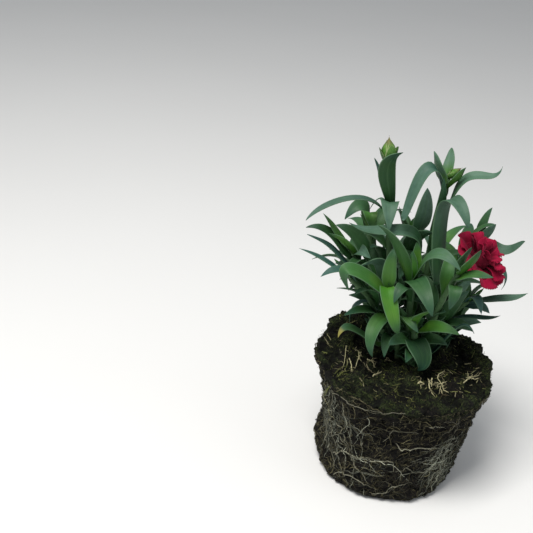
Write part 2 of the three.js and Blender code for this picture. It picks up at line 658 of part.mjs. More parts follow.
// The calyx: a flared cup that the flower's stem ends in.
function calyxSolid() {
  const inner = CALYX_MOUTH_RADIUS - CALYX_WALL;
  const profile = [
    [0, -CALYX_SINK], [CALYX_FOOT_RADIUS, 0], [CALYX_FOOT_RADIUS + CALYX_SWELL, CALYX_LENGTH * 0.5],
    [CALYX_MOUTH_RADIUS, CALYX_LENGTH], [inner, CALYX_LENGTH],
    [inner - CALYX_WALL, CALYX_LENGTH - CALYX_DEPTH], [0, CALYX_LENGTH - CALYX_DEPTH],
  ];
  return turned(profile, CALYX_SIDES, BLOOM_BASE, BLOOM_AXIS);
}

// The flower's own frame: its axis, and two directions square to it.
function bloomFrame() {
  const level = new THREE.Vector3(-BLOOM_AXIS.y, BLOOM_AXIS.x, 0).normalize();
  const steep = new THREE.Vector3().crossVectors(BLOOM_AXIS, level);
  return { level, steep };
}

// Petal layers: how many, radius, rise of the claw and of the edge from the calyx mouth,
// half angle, ruffle, the first petal's heading in degrees, and the step to the next one.
const PETAL_LAYERS = [
  { count: 5, radius: BLOOM_RADIUS, claw: 1, edge: 3.5, half: 42, ruffle: 1.2, first: 12, step: 72 },
  { count: 4, radius: 16.5, claw: 3, edge: 8.5, half: 40, ruffle: 1.6, first: -95, step: 52 },
  { count: 3, radius: 11.5, claw: 5, edge: 12.5, half: 46, ruffle: 1.6, first: 5, step: 120 },
];
const PETAL_ROWS = [0, 0.38, 0.72, 1];
const PETAL_COLUMNS = 7;
const PETAL_TOOTH = 1.2;
const FAN_AT_CLAW = 0.35; // share of a petal's half angle that it has at the claw
const PETAL_ROUNDING = 0.16; // the corners fall so far short of the middle
const RUFFLE_WAVES = 0.8; // from a petal's middle to its side

// A petal's middle surface point: share out from the claw, and across from -1 to 1.
function petalPoint(layer, heading, out, sideways) {
  const { level, steep } = bloomFrame();
  const fan = radians(layer.half) * sideways * THREE.MathUtils.lerp(FAN_AT_CLAW, 1, Math.sqrt(out));
  const rounding = 1 - PETAL_ROUNDING * sideways * sideways * out;
  const radius = CLAW_RADIUS + (layer.radius - CLAW_RADIUS) * out * rounding;
  const wave = layer.ruffle * out * Math.sin(RUFFLE_WAVES * 2 * Math.PI * sideways + heading * 3);
  const height = layer.claw + (layer.edge - layer.claw) * Math.sin(out * Math.PI * 0.5) + wave;
  const angle = heading + fan;
  return BLOOM_BASE.clone()
    .addScaledVector(BLOOM_AXIS, CALYX_LENGTH + height)
    .addScaledVector(level, radius * Math.cos(angle))
    .addScaledVector(steep, radius * Math.sin(angle));
}

// One petal: a thin fan with a toothed edge, its two faces split alike.
function petalSolid(layer, heading) {
  const columns = Array.from({ length: PETAL_COLUMNS }, (_, j) => (2 * j) / (PETAL_COLUMNS - 1) - 1);
  const tooth = (j) => (j % 2 === 0 ? PETAL_TOOTH / 2 : -PETAL_TOOTH / 2) / layer.radius;
  const middle = PETAL_ROWS.map((out) => columns.map((sideways, j) => (
    petalPoint(layer, heading, out === 1 ? out + tooth(j) : out, sideways))));
  const half = BLOOM_AXIS.clone().multiplyScalar(PETAL_THICKNESS / 2);
  const faces = [half, half.clone().negate()];
  const points = faces.flatMap((shift) => middle.flat().map((point) => point.clone().add(shift)));
  const under = PETAL_ROWS.length * PETAL_COLUMNS;
  const triangles = [];
  for (let i = 0; i + 1 < PETAL_ROWS.length; i += 1) {
    for (let j = 0; j + 1 < PETAL_COLUMNS; j += 1) {
      const [a, b] = [i * PETAL_COLUMNS + j, i * PETAL_COLUMNS + j + 1];
      const [c, d] = [a + PETAL_COLUMNS, b + PETAL_COLUMNS];
      triangles.push([a, c, d], [a, d, b]);
      triangles.push([under + a, under + d, under + c], [under + a, under + b, under + d]);
    }
  }
  for (const [p, q] of rimEdges()) triangles.push([p, q, under + q], [p, under + q, under + p]);
  return solidOf(geometryFrom(points, triangles));
}

// The edges round a petal's grid, each as two indices, in order.
function rimEdges() {
  const last = PETAL_ROWS.length - 1;
  const index = (i, j) => i * PETAL_COLUMNS + j;
  const round = [];
  for (let j = 0; j < PETAL_COLUMNS - 1; j += 1) round.push(index(0, j));
  for (let i = 0; i < last; i += 1) round.push(index(i, PETAL_COLUMNS - 1));
  for (let j = PETAL_COLUMNS - 1; j > 0; j -= 1) round.push(index(last, j));
  for (let i = last; i > 0; i -= 1) round.push(index(i, 0));
  return round.map((point, k) => [point, round[(k + 1) % round.length]]);
}

// All petals, joined by the claws' core that stands in the calyx.
function petalsSolid() {
  const inner = CALYX_MOUTH_RADIUS - 2 * CALYX_WALL - CLAW_GAP;
  const core = [
    [0, CALYX_LENGTH - CALYX_DEPTH + CLAW_GAP], [inner, CALYX_LENGTH - CALYX_DEPTH + CLAW_GAP],
    [inner, CALYX_LENGTH + CLAW_GAP * 2],
    ...HEART.map(([radius, rise]) => [radius, CALYX_LENGTH + rise]),
  ];
  const solids = [turned(core, BUD_SIDES, BLOOM_BASE, BLOOM_AXIS)];
  for (const layer of PETAL_LAYERS) {
    for (let i = 0; i < layer.count; i += 1) {
      const heading = radians(layer.first + layer.step * i);
      solids.push(petalSolid(layer, heading));
    }
  }
  return joined(solids);
}

// A bud on the top of its stem, with a pointed tip.
function budSolid(stem, { radius, length, gap, way }) {
  const curve = stemCurve(stem);
  const base = curve.getPoint(1).addScaledVector(curve.getTangent(1), gap);
  const axis = vector(way).normalize();
  const profile = BUD_PROFILE.map(([wide, high]) => [radius * wide, length * high]);
  return turned(profile, BUD_SIDES, base, axis);
}

// ---- assembly ----

// True if two solids share more than a trace of space.
function meets(a, b) {
  const [p, q] = [a.boundingBox(), b.boundingBox()];
  for (let i = 0; i < 3; i += 1) {
    if (p.min[i] > q.max[i] || q.min[i] > p.max[i]) return false;
  }
  return a.intersect(b).volume() > TRACE;
}

const soil = soilSolid();
const buds = Object.fromEntries(
  Object.entries(BUDS).map(([name, bud]) => [name, budSolid(STEMS[name], bud)]),
);
const petals = petalsSolid();

// Every placed solid, with the stem that owns it.
const placed = [
  { owner: 'soil', solid: soil },
  { owner: 'petals', solid: petals },
  ...Object.entries(buds).map(([owner, solid]) => ({ owner: `${owner}_head`, solid })),
];
const pieces = {};
for (const [name, stem] of Object.entries(STEMS)) {
  pieces[name] = [stemSolid(stem)];
  if (name === 'bloom') pieces[name].push(calyxSolid());
  pieces[name].forEach((solid) => placed.push({ owner: name, solid, stem: true }));
}

// The first way to bend a leaf that clears everything placed, or nothing.
function clearBlade(name, leaf, bends) {
  for (const bend of bends) {
    const points = bent(leaf.points, bend);
    const trial = { ...leaf, points, sideways: levelSide(points) };
    const whole = blade(trial, 0, LEAF_CLEARANCE);
    const outer = blade(trial, STEM_MATE_SHARE, LEAF_CLEARANCE);
    const hit = placed.some((other) => (
      meets(other.owner === name ? outer : whole, other.solid)));
    if (!hit) return blade(trial);
  }
  return null;
}

function place(name, leaf, bends) {
  const solid = clearBlade(name, leaf, bends);
  if (!solid) return false;
  pieces[name].push(solid);
  placed.push({ owner: name, solid });
  return true;
}

for (const [name, stem] of Object.entries(STEMS)) {
  const curve = stemCurve(stem);
  for (const [share, points, width, turn, open] of stem.leaves) {
    const route = [curve.getPoint(share), ...points.map(vector)];
    place(name, { points: route, width, turn, open, stations: NAMED_STATIONS }, NAMED_BENDS);
  }
}
Object.entries(STEMS).forEach(([name, stem], order) => {
  const curve = stemCurve(stem);
  const draw = seeded(LEAF_SEED + order);
  for (let i = 0; i < stem.more[0]; i += 1) {
    place(name, ruleLeaf(stem, curve, i, draw), RULE_BENDS);
  }
});

const roots = [...ROOTS, ...ruleRoots()].map(rootSolid);
const holes = Object.values(STEMS).map((stem) => stemSolid(stem, HOLE_CLEARANCE, HOLE_REACH));
const ball = joined([soil, ...roots]).subtract(wasm.Manifold.union(holes));

const plant = new THREE.Group();
plant.add(meshOf('root_ball', ball, SOIL));
for (const name of Object.keys(STEMS)) {
  plant.add(meshOf(`stem_${name}`, joined(pieces[name]), LEAF));
}
for (const [name, solid] of Object.entries(buds)) {
  plant.add(meshOf(name, solid, BUD));
}
plant.add(meshOf('bloom_petals', petals, CRIMSON));

export default plant;
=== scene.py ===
"""A dianthus out of its pot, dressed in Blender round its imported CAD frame.

The tables hold millimetres in the part's own frame: +Z up, the underside of the root ball at
zero. A mesh is turned into metres where it is made. Leaves, petals and the root ball repeat
the CAD's formulas in finer steps, so that each piece stays where its node is. Every random
draw is seeded.
"""

import math

import bpy
import numpy as np
from mathutils import Matrix, Vector, noise


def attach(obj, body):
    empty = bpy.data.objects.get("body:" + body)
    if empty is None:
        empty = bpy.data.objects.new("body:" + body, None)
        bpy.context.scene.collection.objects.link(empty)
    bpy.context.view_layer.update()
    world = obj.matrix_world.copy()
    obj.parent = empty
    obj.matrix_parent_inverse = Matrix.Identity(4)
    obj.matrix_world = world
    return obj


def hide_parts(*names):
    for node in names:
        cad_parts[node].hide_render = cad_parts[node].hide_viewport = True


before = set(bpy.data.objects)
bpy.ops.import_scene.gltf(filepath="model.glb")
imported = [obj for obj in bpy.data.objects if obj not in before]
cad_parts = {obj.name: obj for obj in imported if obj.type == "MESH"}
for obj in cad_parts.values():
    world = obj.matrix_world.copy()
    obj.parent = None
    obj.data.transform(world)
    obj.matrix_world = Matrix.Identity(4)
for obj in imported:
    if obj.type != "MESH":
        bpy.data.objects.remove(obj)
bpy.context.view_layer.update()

METRES = 0.001  # in a millimetre
UP = np.array([0, 0, 1.0])

# ---- root ball, as in the CAD ----

BALL_HEIGHT = 76
BALL_FOOT_RADIUS = 45.5
BALL_TOP_RADIUS = 55
BALL_LEAN = 6.5  # how far the top's middle stands off the foot's, along X
# How far the wall stands off a plain cone at each height.
WALL_PROFILE = [(0, -1.6), (4, 0.8), (17, 0), (31, -2.3), (45, -2.6), (59, -2.6), (70, -1)]
# Lumps of the wall: height, how many go round, turn with height, and start.
WALL_LUMPS = [(0.8, 3, 0.06, 0), (0.7, 5, -0.11, 1), (0.5, 9, 0.17, 0)]
# Mounds on the rim: heading in degrees, how far they jut out, and how high they stand up.
MOUNDS = [(132, 13, 12), (42, 4, 2), (-2, 2.5, 2.5)]
MOUND_SHARPNESS = 5
MOUND_FROM = 28  # a mound rises between these distances from the top's middle
MOUND_UNTIL = 50
CROWN = (9, 12)  # the stems come up round here
CROWN_SWELL = 3  # the soil's rise under the stems
CROWN_REACH = 26
SOIL_SINK = 1.5  # the top's mean depth under the ball's height
SOIL_FALL = (0.022, -0.015)  # slope of the top along X and Y
# Lumps of the top: height, waves along X and along Y, and start.
SOIL_LUMPS = [(0.6, 0.21, 0.06, 1.3), (0.6, -0.04, 0.2, 0.4), (0.6, 0.37, -0.29, 0)]

# ---- leaves and stems, as in the CAD ----

STEM_TAPER = 0.75  # top radius over foot radius
BLADE_FOLD = 0.2  # edge lift over half width
BLADE_ROOT = 0.3  # root width over full width
BLADE_OPEN = 0.45  # share of its length at which a blade reaches full width
BLADE_TAPER = 3.6  # a higher one keeps a blade wide until nearer its tip
BLADE_POINT = 0.85  # a lower one makes the tip blunter
LOWEST_SHARE = 0.22  # of a stem, for the rule's leaves
GOLDEN_SHARE = 0.618  # of a stem's spread, from one leaf to the next
GOLDEN_SLACK = 0.12
RULE_REACH = (0.85, 1.2)  # of the stem's leaf length, least and most
RULE_RISE = (0.25, 0.4)  # steepness at a stem's foot, and more towards its top
RULE_RISE_SLACK = 0.15
# A rule leaf's middle and tip, over its reach: how far out, what steepness adds to that, how
# high, and what steepness adds to that.
RULE_MIDDLE = (0.34, 0, 0.28, 0.5)
RULE_TIP = (0.85, -0.35, 0.15, 0.75)
RULE_WIDTH = (7.5, 10.5)
RULE_TURN = 25  # degrees to either side
RULE_SEED = 100
CROWDED_LEAN = np.array([0, 0.89, -0.45])  # a crowded blade's tip leans along this
TIP_MATCH = 0.06  # a leaf's tip and the CAD's vertex there are at most this far apart

# Each stem: its axis as foot, middle and top; its foot radius; the rule's leaves, as how many,
# heading, half spread, length and highest share. Each named leaf: share up the stem, points
# from midway to the tip, width, turn of its face, look, and the share of its length that it
# opens over, where that isn't the usual.
STEMS = {
    "bud_left": {
        "axis": [(6, 15, 66), (-14, 15, 160), (-20, 14, 206)],
        "radius": 2.4,
        "more": (4, 60, 110, 34, 0.6),
        "leaves": [
            (0.76, [(-19.5, 7, 194), (-21, 3, 208.7), (-14.5, -2, 217.5)], 13.5, 0, "deep", 0.8),
            (0.8, [(-24.5, 12, 199.5), (-29, 11, 208.3)], 4, 35, "blue"),
            (0.72, [(-17.5, 4, 183.5), (-17.6, -9, 171)], 12, 0, "grey"),
            (0.64, [(-29, 9, 182), (-46, 3, 183.5), (-66.5, -9, 174)], 8, 0, "haze"),
            (0.7, [(-22.5, 12, 183), (-26.5, 10, 177)], 3.5, 0, "grey"),
            (0.69, [(-13.5, 12, 181.5), (-9.3, 10, 182.7)], 3, 0, "haze"),
        ],
    },
    "bud_right": {
        "axis": [(13, 15, 66), (14, 14, 158), (16, 13, 198)],
        "radius": 2.3,
        "more": (4, 60, 110, 34, 0.6),
        "leaves": [
            (0.93, [(8, 10, 208), (5, 11, 215)], 8.5, 32, "sprout"),
            (0.95, [(17.6, 16, 209.5), (19.2, 18, 217.6)], 7.5, -30, "sprout"),
            (0.94, [(20.5, 8, 200.5), (24.5, 7, 208)], 6, -30, "bright"),
            (
                0.92,
                [(10.5, 6.5, 200), (4, 3.5, 207.5), (-3.4, 0, 198.5), (-10.8, -4, 179.5)],
                8.5, -20, "haze",
            ),
            (0.55, [(13.5, 9.5, 171), (13.3, 8.5, 187), (11.8, 8.5, 199.5)], 7.5, 0, "deep"),
            (
                0.6,
                [(15, 4, 180), (18, -1, 190.5), (22.5, -9, 188), (26.5, -14, 178.5)],
                13.5, 12, "grey",
            ),
            (
                0.86,
                [(23.5, 9, 196.5), (30, 8, 202.3), (37.5, 6.5, 203.5), (44.8, 5, 211)],
                7.5, 25, "grey",
            ),
        ],
    },
    "back_mid": {
        "axis": [(8, 23, 66), (4, 26, 129), (2, 28, 155)],
        "radius": 2,
        "more": (5, 90, 150, 36, 0.85),
        "leaves": [
            (0.9, [(8, 25, 168), (7, 24, 187)], 12, -40, "grey"),
            (0.77, [(1, 18, 151), (4, 10, 161), (11, 3, 167)], 10.5, -35, "plain"),
            (0.85, [(-4.8, 20, 165), (-9.5, 18, 176)], 8, 0, "plain"),
        ],
    },
    "right_back": {
        "axis": [(24, 23, 66), (39, 30, 133), (49, 34, 150)],
        "radius": 2,
        "more": (6, 60, 90, 36, 0.9),
        "leaves": [
            (0.97, [(48, 34, 163), (52, 36, 172)], 7.5, 0, "plain"),
            (0.94, [(50, 26, 160), (53, 24, 166)], 8.5, -25, "grey"),
            (0.9, [(52, 29, 150.5), (59, 26, 148), (65.5, 23, 150.5), (71.5, 19, 158)], 8, 35, "grey"),
            (0.7, [(59.8, 22, 138), (63, 18, 134), (61.3, 14, 125.5)], 6, 0, "blue"),
        ],
    },
    "right_front": {
        "axis": [(17, 5.5, 66), (20, -11, 129), (24, -24, 154)],
        "radius": 2,
        "more": (3, 110, 50, 30, 0.8),
        "leaves": [
            (0.97, [(27.5, -33, 166), (30.5, -37, 176)], 6.5, -15, "bright"),
            (0.93, [(25, -27, 167), (27, -30, 174)], 6, -5, "plain"),
            (0.88, [(32, -36, 160), (39, -42, 162)], 7, 35, "fresh"),
            (0.84, [(22, -30, 146), (20, -32, 134)], 8.5, 0, "plain"),
        ],
    },
    "right_low": {
        "axis": [(21.5, 13, 66), (30, 12, 102), (40, 8, 119)],
        "radius": 1.9,
        "more": (3, 60, 60, 30, 0.8),
        "leaves": [
            (0.99, [(53, 4, 123.5), (63.5, 0, 127.5), (72.6, -4, 134)], 7.5, 10, "rime"),
            (0.94, [(43, 2, 125), (47.3, -3.5, 116.5)], 8.5, 0, "blue"),
            (0.85, [(47.5, 9.5, 116), (55.8, 9, 111)], 8, 25, "blue"),
            (0.56, [(41, 7, 108), (51, 4, 110), (60.3, 1, 114.5)], 7, -8, "blue"),
            (0.5, [(28, 0, 118), (37, -4, 133)], 11.5, -40, "plain"),
            (0.45, [(37, -1, 107), (44, -5, 105)], 9, 25, "plain"),
        ],
    },
    "front": {
        "axis": [(9.5, 4.5, 66), (3, -1, 118), (2, -4, 140)],
        "radius": 2.1,
        "more": (3, 80, 60, 30, 0.7),
        "leaves": [
            (0.98, [(2, -3, 152), (1, -1, 162)], 7.5, 0, "bright"),
            (0.94, [(-1, -9, 151), (-2, -10, 160)], 7.5, 0, "bright"),
            (0.81, [(-7, -9, 154), (-15, -13, 168), (-26, -17, 178)], 9, 30, "fresh"),
            (0.88, [(-11, 0, 168), (-25, -3, 168), (-41, -5, 173)], 9.5, -35, "grey"),
            (0.79, [(5, -9, 151), (11, -17, 162), (23, -26, 156.5)], 11.5, 40, "lit"),
            (0.73, [(2, -14, 142), (5, -25, 140), (10, -30, 128)], 12.5, 20, "plain"),
            (0.69, [(-5, -12, 138), (-9, -17, 132)], 9.5, 0, "plain"),
        ],
    },
    "front_left": {
        "axis": [(2.5, 8, 66), (-6, -3, 112), (-12, -7, 131)],
        "radius": 2,
        "more": (2, 180, 50, 30, 0.95),
        "leaves": [
            (0.95, [(-14, -11, 148), (-11.3, -8, 161)], 9.5, 0, "fresh"),
            (0.81, [(-14, -16, 135), (-11, -26, 127), (-5, -30, 114)], 11, 0, "bright"),
            (0.42, [(-14, -8, 112), (-20, -18, 109), (-19, -24, 93)], 11.5, 0, "fresh"),
            (0.3, [(-9, -8, 98), (-11, -17, 89)], 9, 0, "plain"),
            (0.78, [(-24, -10, 138), (-40.6, -17, 148), (-37, -15, 133)], 11.5, -35, "fresh"),
        ],
    },
    "left_high": {
        "axis": [(0, 14.5, 66), (-19, 12, 124), (-34, 9, 145)],
        "radius": 2,
        "more": (4, 150, 70, 34, 0.92),
        "leaves": [
            (0.99, [(-47.8, 6, 162.6), (-56.1, 5, 173.6)], 6, -40, "fresh"),
            (0.96, [(-43.5, -1, 159.5), (-52, -3, 164.5)], 5.5, 35, "bright"),
            (0.9, [(-46, 4, 157), (-56, 1, 166), (-65.8, -2, 166.8)], 7.5, -45, "deep"),
            (0.84, [(-36, 14, 158), (-47, 15, 162)], 10.5, -45, "plain"),
            (0.93, [(-31, 0, 153), (-26, -8, 152)], 8.5, 40, "grey"),
        ],
    },
    "left_low": {
        "axis": [(-5, 10.5, 66), (-20, 5, 115), (-35, 1, 133)],
        "radius": 1.9,
        "more": (3, 190, 70, 34, 0.95),
        "leaves": [
            (0.9, [(-50, 3, 152.5), (-64.7, 0, 161.4)], 6, -15, "blue"),
            (0.98, [(-54, -2, 146.3), (-69, -4, 153.7)], 5, -10, "blue"),
            (0.94, [(-46.5, -9, 143.5), (-55, -12, 139.3)], 6.5, -15, "blue"),
            (0.69, [(-26, 8, 113), (-32, 10, 97)], 6.5, -20, "blue"),
            (0.61, [(-24, -3, 147), (-36, -8, 143)], 10, 45, "grey"),
            (0.38, [(-23.5, 2, 111.8), (-38.7, -5, 110.3)], 8.5, -15, "deep"),
            (0.28, [(-28, -4, 99), (-36.3, -8, 103), (-40.3, -12, 97.5)], 8, -25, "fading"),
        ],
    },
    "back_left": {
        "axis": [(0.5, 21.5, 66), (-18, 28, 134), (-25, 34, 153)],
        "radius": 2,
        "more": (6, 130, 120, 38, 0.95),
        "leaves": [
            (0.91, [(-34, 28, 170), (-41, 24, 162)], 10, -45, "plain"),
            (0.95, [(-26, 26, 171), (-23, 18, 162)], 11, 0, "bright"),
        ],
    },
    "bloom": {
        "axis": [(17.5, 20.5, 66), (21, 12, 108), (25, 0.25, 138)],
        "radius": 1.9,
        "more": (4, 50, 60, 32, 0.8),
        "leaves": [],
    },
    "rosette": {
        "axis": [(9.5, -3, 66), (8.5, -4, 86), (7.5, -5, 104)],
        "radius": 2.4,
        "more": (3, -60, 50, 26, 0.95),
        "leaves": [
            (0.85, [(19, -16, 113), (31, -24, 113)], 9, 40, "bright"),
            (0.5, [(30, -4, 101), (38, -8.5, 110.7), (43, -11, 106.8)], 6, 0, "blue"),
            (0.4, [(30, -7, 96.5), (38, -12.5, 98), (40, -14, 105)], 7, 20, "blue"),
            # This wide low leaf's dark look is painted shade.
            (0.6, [(7.5, -10, 97.5), (11.5, -15.5, 93.5), (10.5, -19, 82.5)], 15, 0, "dark"),
            (0.7, [(-3, -12, 100), (-10, -18, 99)], 9, -30, "plain"),
            (0.9, [(1, -12, 115), (7, -20, 110)], 9, 0, "fresh"),
            (0.97, [(6, -14, 119), (10, -18, 125)], 6, 5, "bright"),
        ],
    },
    "rear_left": {
        "axis": [(-7, 19, 66), (-24, 36, 104), (-34, 46, 114)],
        "radius": 1.9,
        "more": (8, 130, 130, 40, 0.95),
        "leaves": [],
    },
    "rear_mid": {
        "axis": [(5, 30, 66), (-2, 44, 108), (-6, 52, 122)],
        "radius": 1.9,
        "more": (8, 95, 130, 40, 0.95),
        "leaves": [],
    },
    "rear_right": {
        "axis": [(15, 29, 66), (22, 46, 108), (26, 54, 122)],
        "radius": 1.9,
        "more": (8, 75, 130, 40, 0.95),
        "leaves": [],
    },
    "rear_low": {
        "axis": [(28, 16, 66), (42, 29, 94), (50, 36, 104)],
        "radius": 1.9,
        "more": (6, 75, 80, 30, 0.95),
        "leaves": [],
    },
}

# ---- how the leaves look, and what only the scene adds to them ----

# How young, waxy, blue and dry each look is. The waxy grey is partly the leaf's bloom and partly a painted
# sky sheen towards the tip. A wax over 1 is a thick one.
LOOK_PARTS = ("young", "wax_and_sheen", "blue", "dry")
LOOKS = {
    "plain": (0.34, 0.2, 0.1, 0),
    "grey": (0.15, 0.85, 0.15, 0),
    "deep": (0.17, 0.03, 0.06, 0),
    # dark: the bare mature green, without wax, painting shade onto the wide low leaf under the others.
    "dark": (0, 0, 0, 0),
    "fresh": (0.74, 0.22, 0.02, 0),
    "lit": (1, 0.75, 0, 0),
    "sprout": (1, 1, 0, 0),
    "bright": (1, 0.08, 0, 0),
    "blue": (0.08, 0.35, 0.75, 0),
    "haze": (0.05, 0.75, 0.5, 0),
    # rime: a thick wax, whose paler grey partly paints light onto a leaf that lies at a grazing angle.
    "rime": (0.05, 1.3, 0.3, 0),
    "fading": (0.55, 0.35, 0, 1),
}
RULE_LOOKS = ["plain", "grey", "deep", "fresh", "deep", "plain"]
LOOK_SEED = 500

# Shares of a blade's length that it has sections at, closer together towards the tip.
LEAF_STATIONS = np.array([*np.linspace(0, 0.88, 26), 0.91, 0.935, 0.957, 0.975, 0.988, 0.997])
SMALL_LEAF_STATIONS = np.array([*np.linspace(0, 0.8, 11), 0.87, 0.93, 0.97, 0.995])
LEAF_COLUMNS = 9
LEAF_RIB_THICKNESS = 0.95
LEAF_EDGE_THICKNESS = 0.4
LEAF_GROOVE = 0.28  # depth of the upper side's furrow over the midrib
LEAF_GROOVE_REACH = 0.16  # over the half width
LEAF_FOLD_CURVE = 1.5  # a higher one keeps the middle of the fold flatter
SLENDER_HALF = 2.2  # a blade with less than this half width is thinner in proportion
LEAF_TWIST = 8  # degrees, the usual size
LEAF_WAVE = 0.3  # height of a blade's soft waves
LEAF_WAVE_PACE = (7, 13)  # radians over its length
LEAF_WAVE_FULL = 0.3  # share of its length from which the waves are full
STEM_RINGS = 44
STEM_SIDES = 12
NODE_SWELL = 0.5  # a stem is this much thicker where leaves join it
NODE_REACH = 1.6  # how far that reaches along it
NODE_LIMIT = 0.3  # a higher one makes less of it on a thick stem

# Young leaves at a shoot's tip: how far round from one to the next in radians, and the way off
# the stem's line midway and at their own tip.
TIP_LEAVES = 3
TIP_LEAF_STEP = 2.1
TIP_LEAF_SPREAD = (1.3, 2.2)
TIP_LEAF_REACH = (8, 13)
TIP_LEAF_WIDTH = (3, 4.2)
TIP_LEAF_THICKNESS = 0.7  # over the other leaves'
# Short dark leaves low on each stem: their shares up it, the way round from one to the next in
# radians, and how far out and high their middle and tip are over their reach.
LOW_LEAVES = 8
LOW_LEAF_SHARES = (0.06, 0.48)
LOW_LEAF_STEP = 2.4
LOW_LEAF_MIDDLE = (0.3, 0.5)
LOW_LEAF_TIP = (0.62, 0.72)
LOW_LEAF_REACH = (15, 25)
LOW_LEAF_WIDTH = (5, 7.5)
LOW_LEAF_TURN = 20  # degrees to either side

# ---- flower and buds, as in the CAD ----

BLOOM_BASE = np.array([25, 0.25, 138])
BLOOM_AXIS = np.array([0.6, -0.31, 0.74]) / np.linalg.norm([0.6, -0.31, 0.74])
CALYX_LENGTH = 20
CALYX_FOOT_RADIUS = 3
CALYX_MOUTH_RADIUS = 5
# Layers of petals: how many, the first one's heading and the step to the next in degrees, and a
# petal's radius, heights at its claw and its edge, half angle and ruffle.
LAYER_PARTS = ("count", "first", "step", "radius", "claw", "edge", "half", "ruffle")
PETAL_LAYERS = [
    (5, 12, 72, 20, 1, 3.5, 42, 1.2),
    (4, -95, 52, 16.5, 3, 8.5, 40, 1.6),
    (3, 5, 120, 11.5, 5, 12.5, 46, 1.6),
]
CLAW_RADIUS = 1.5  # where a petal starts
FAN_AT_CLAW = 0.35  # share of a petal's half angle that it has at the claw
RUFFLE_WAVES = 0.8  # from a petal's middle to its side
HEART = [(4.1, 0), (5.5, 3), (5, 8), (2.5, 9.6), (0.1, 10)]  # the petals' core: radius and rise
# Each bud: radius, length, gap over the stem's top, and direction.
BUDS = {
    "bud_left": (4.4, 15.3, 0.3, (-0.1, 0, 1)),
    "bud_right": (2.4, 10.5, 1.2, (0.66, -0.28, 0.7)),
}

# ---- what only the scene adds to the flower and the buds ----

# Finer petals in the middle, which the CAD's core stands in for.
INNER_LAYERS = [
    (5, 48, 72, 14, 1, 3.2, 44, 0.8),
    (3, 70, 120, 7.5, 5, 13, 55, 1.2),
]
PETAL_ROWS = 17
PETAL_COLUMNS = 81
PETAL_TEETH = 20
PETAL_TOOTH = 0.9
TOOTH_BASE = 0.6  # share of a tooth that is cut into the petal
PETAL_ROUNDING = 0.16  # how much shorter a petal is at its sides, over its length
PETAL_FRILL = 0.3
PETAL_CUP = 0.5
PETAL_THICKNESS = 0.3
PETAL_SEED = 7
HEART_SIDES = 24
# The calyx's outline: share of the plain cone's radius, and height over its length.
CALYX_OUTLINE = [(0, -0.06), (0.75, -0.02), (1, 0.06), (1.04, 0.2), (1, 0.45), (1, 0.7), (1, 1)]
CALYX_SIDES = 60
CALYX_TEETH = 5
CALYX_TOOTH = 2.2
CALYX_RIBS = 20
CALYX_RIB = 0.03  # height over the radius

# A bud's outline, as shares of its length and its radius.
BUD_OUTLINE = [
    (0, 0.6), (0.1, 0.84), (0.27, 1), (0.43, 0.97), (0.6, 0.76),
    (0.73, 0.46), (0.86, 0.2), (0.94, 0.09), (1, 0.02),
]
# A bud's layers, from its body out: how many scales, the share of its length that they reach, a
# scale's half spread in half turns, the first one's start in turns, how far they stand off the
# body and how far their tips flare, both over its radius, and their greenness from 0 to 1.
BUD_PARTS = ("count", "top", "spread", "first", "off", "flare", "green")
BUD_LAYERS = [
    (1, 1, 1, 0, -0.06, 0, 0),
    (3, 0.84, 0.42, 0.1, -0.01, 0.02, 0.1),
    (2, 0.66, 0.34, 0.06, 0.04, 0.06, 0.3),
    (2, 0.54, 0.3, -0.24, 0.08, 0.4, 0.55),
]
BUD_ROWS = 26
BUD_COLUMNS = 33
SCALE_POINT = 2.2  # a higher one keeps a scale wide until nearer its tip
SCALE_MARGIN = 0.86  # its pale margin starts at this share of its half width

# ---- roots ----

# Each root: radius, paleness from 0 to 1, and its stops from end to end, as heading in degrees
# and height. The larger ones follow the CAD's in finer steps.
ROOTS = [
    (0.24, 0.75, [(-164, 65), (-153, 66), (-142, 68), (-134, 67), (-126, 67), (-119, 69), (-101, 74)]),
    (0.36, 0.95, [(-144, 22), (-140, 23), (-137, 28), (-133, 30), (-127, 29), (-120, 30), (-112, 32)]),
    (0.33, 0.8, [(-113, 32), (-105, 31), (-99, 34), (-94, 31), (-93, 26)]),
    (0.36, 1.0, [(-97, 48), (-92, 43), (-86, 45), (-79, 46), (-70, 44), (-61, 41), (-57, 43)]),
    (0.33, 0.85, [(-140, 5), (-137, 8), (-129, 13), (-121, 12), (-110, 10), (-99, 8)]),
    (0.33, 0.85, [(-105, 5), (-94, 6), (-90, 13), (-81, 15), (-75, 16)]),
    (0.33, 0.5, [(-127, 28), (-125, 25), (-118, 21), (-107, 12)]),
    (0.3, 0.7, [(-169, 59), (-163, 53), (-162, 41), (-160, 28), (-153, 22), (-142, 15), (-137, 9)]),
    (0.26, 0.8, [(-156, 65), (-153, 55), (-147, 47), (-144, 32), (-140, 24)]),
    (0.26, 0.7, [(-142, 66), (-137, 57), (-132, 55), (-132, 42), (-128, 30)]),
    (0.24, 0.8, [(-146, 45), (-140, 44), (-137, 36), (-130, 31)]),
    (0.24, 0.7, [(-144, 38), (-136, 36), (-130, 29)]),
    (0.22, 0.7, [(-106, 46), (-102, 52), (-100, 58), (-96, 56)]),
    (0.25, 0.9, [(-78, 63), (-71, 62), (-64, 60)]),
    (0.2, 0.5, [(-104, 71), (-101, 59)]),
    (0.26, 0.7, [(-84, 28), (-78, 25), (-72, 23), (-64, 24), (-56, 25)]),
    (0.24, 0.8, [(-54, 29), (-50, 31), (-43, 36), (-42, 41)]),
    (0.24, 0.8, [(-57, 8), (-57, 19), (-53, 24), (-44, 27)]),
    (0.24, 0.6, [(-86, 19), (-86, 24), (-82, 28), (-74, 34)]),
    (0.2, 0.7, [(-120, 42), (-119, 34)]),
    (0.26, 0.5, [(-52, 58), (-51, 40), (-54, 12)]),
    (0.26, 0.5, [(-58, 70), (-57, 57), (-66, 50)]),
]
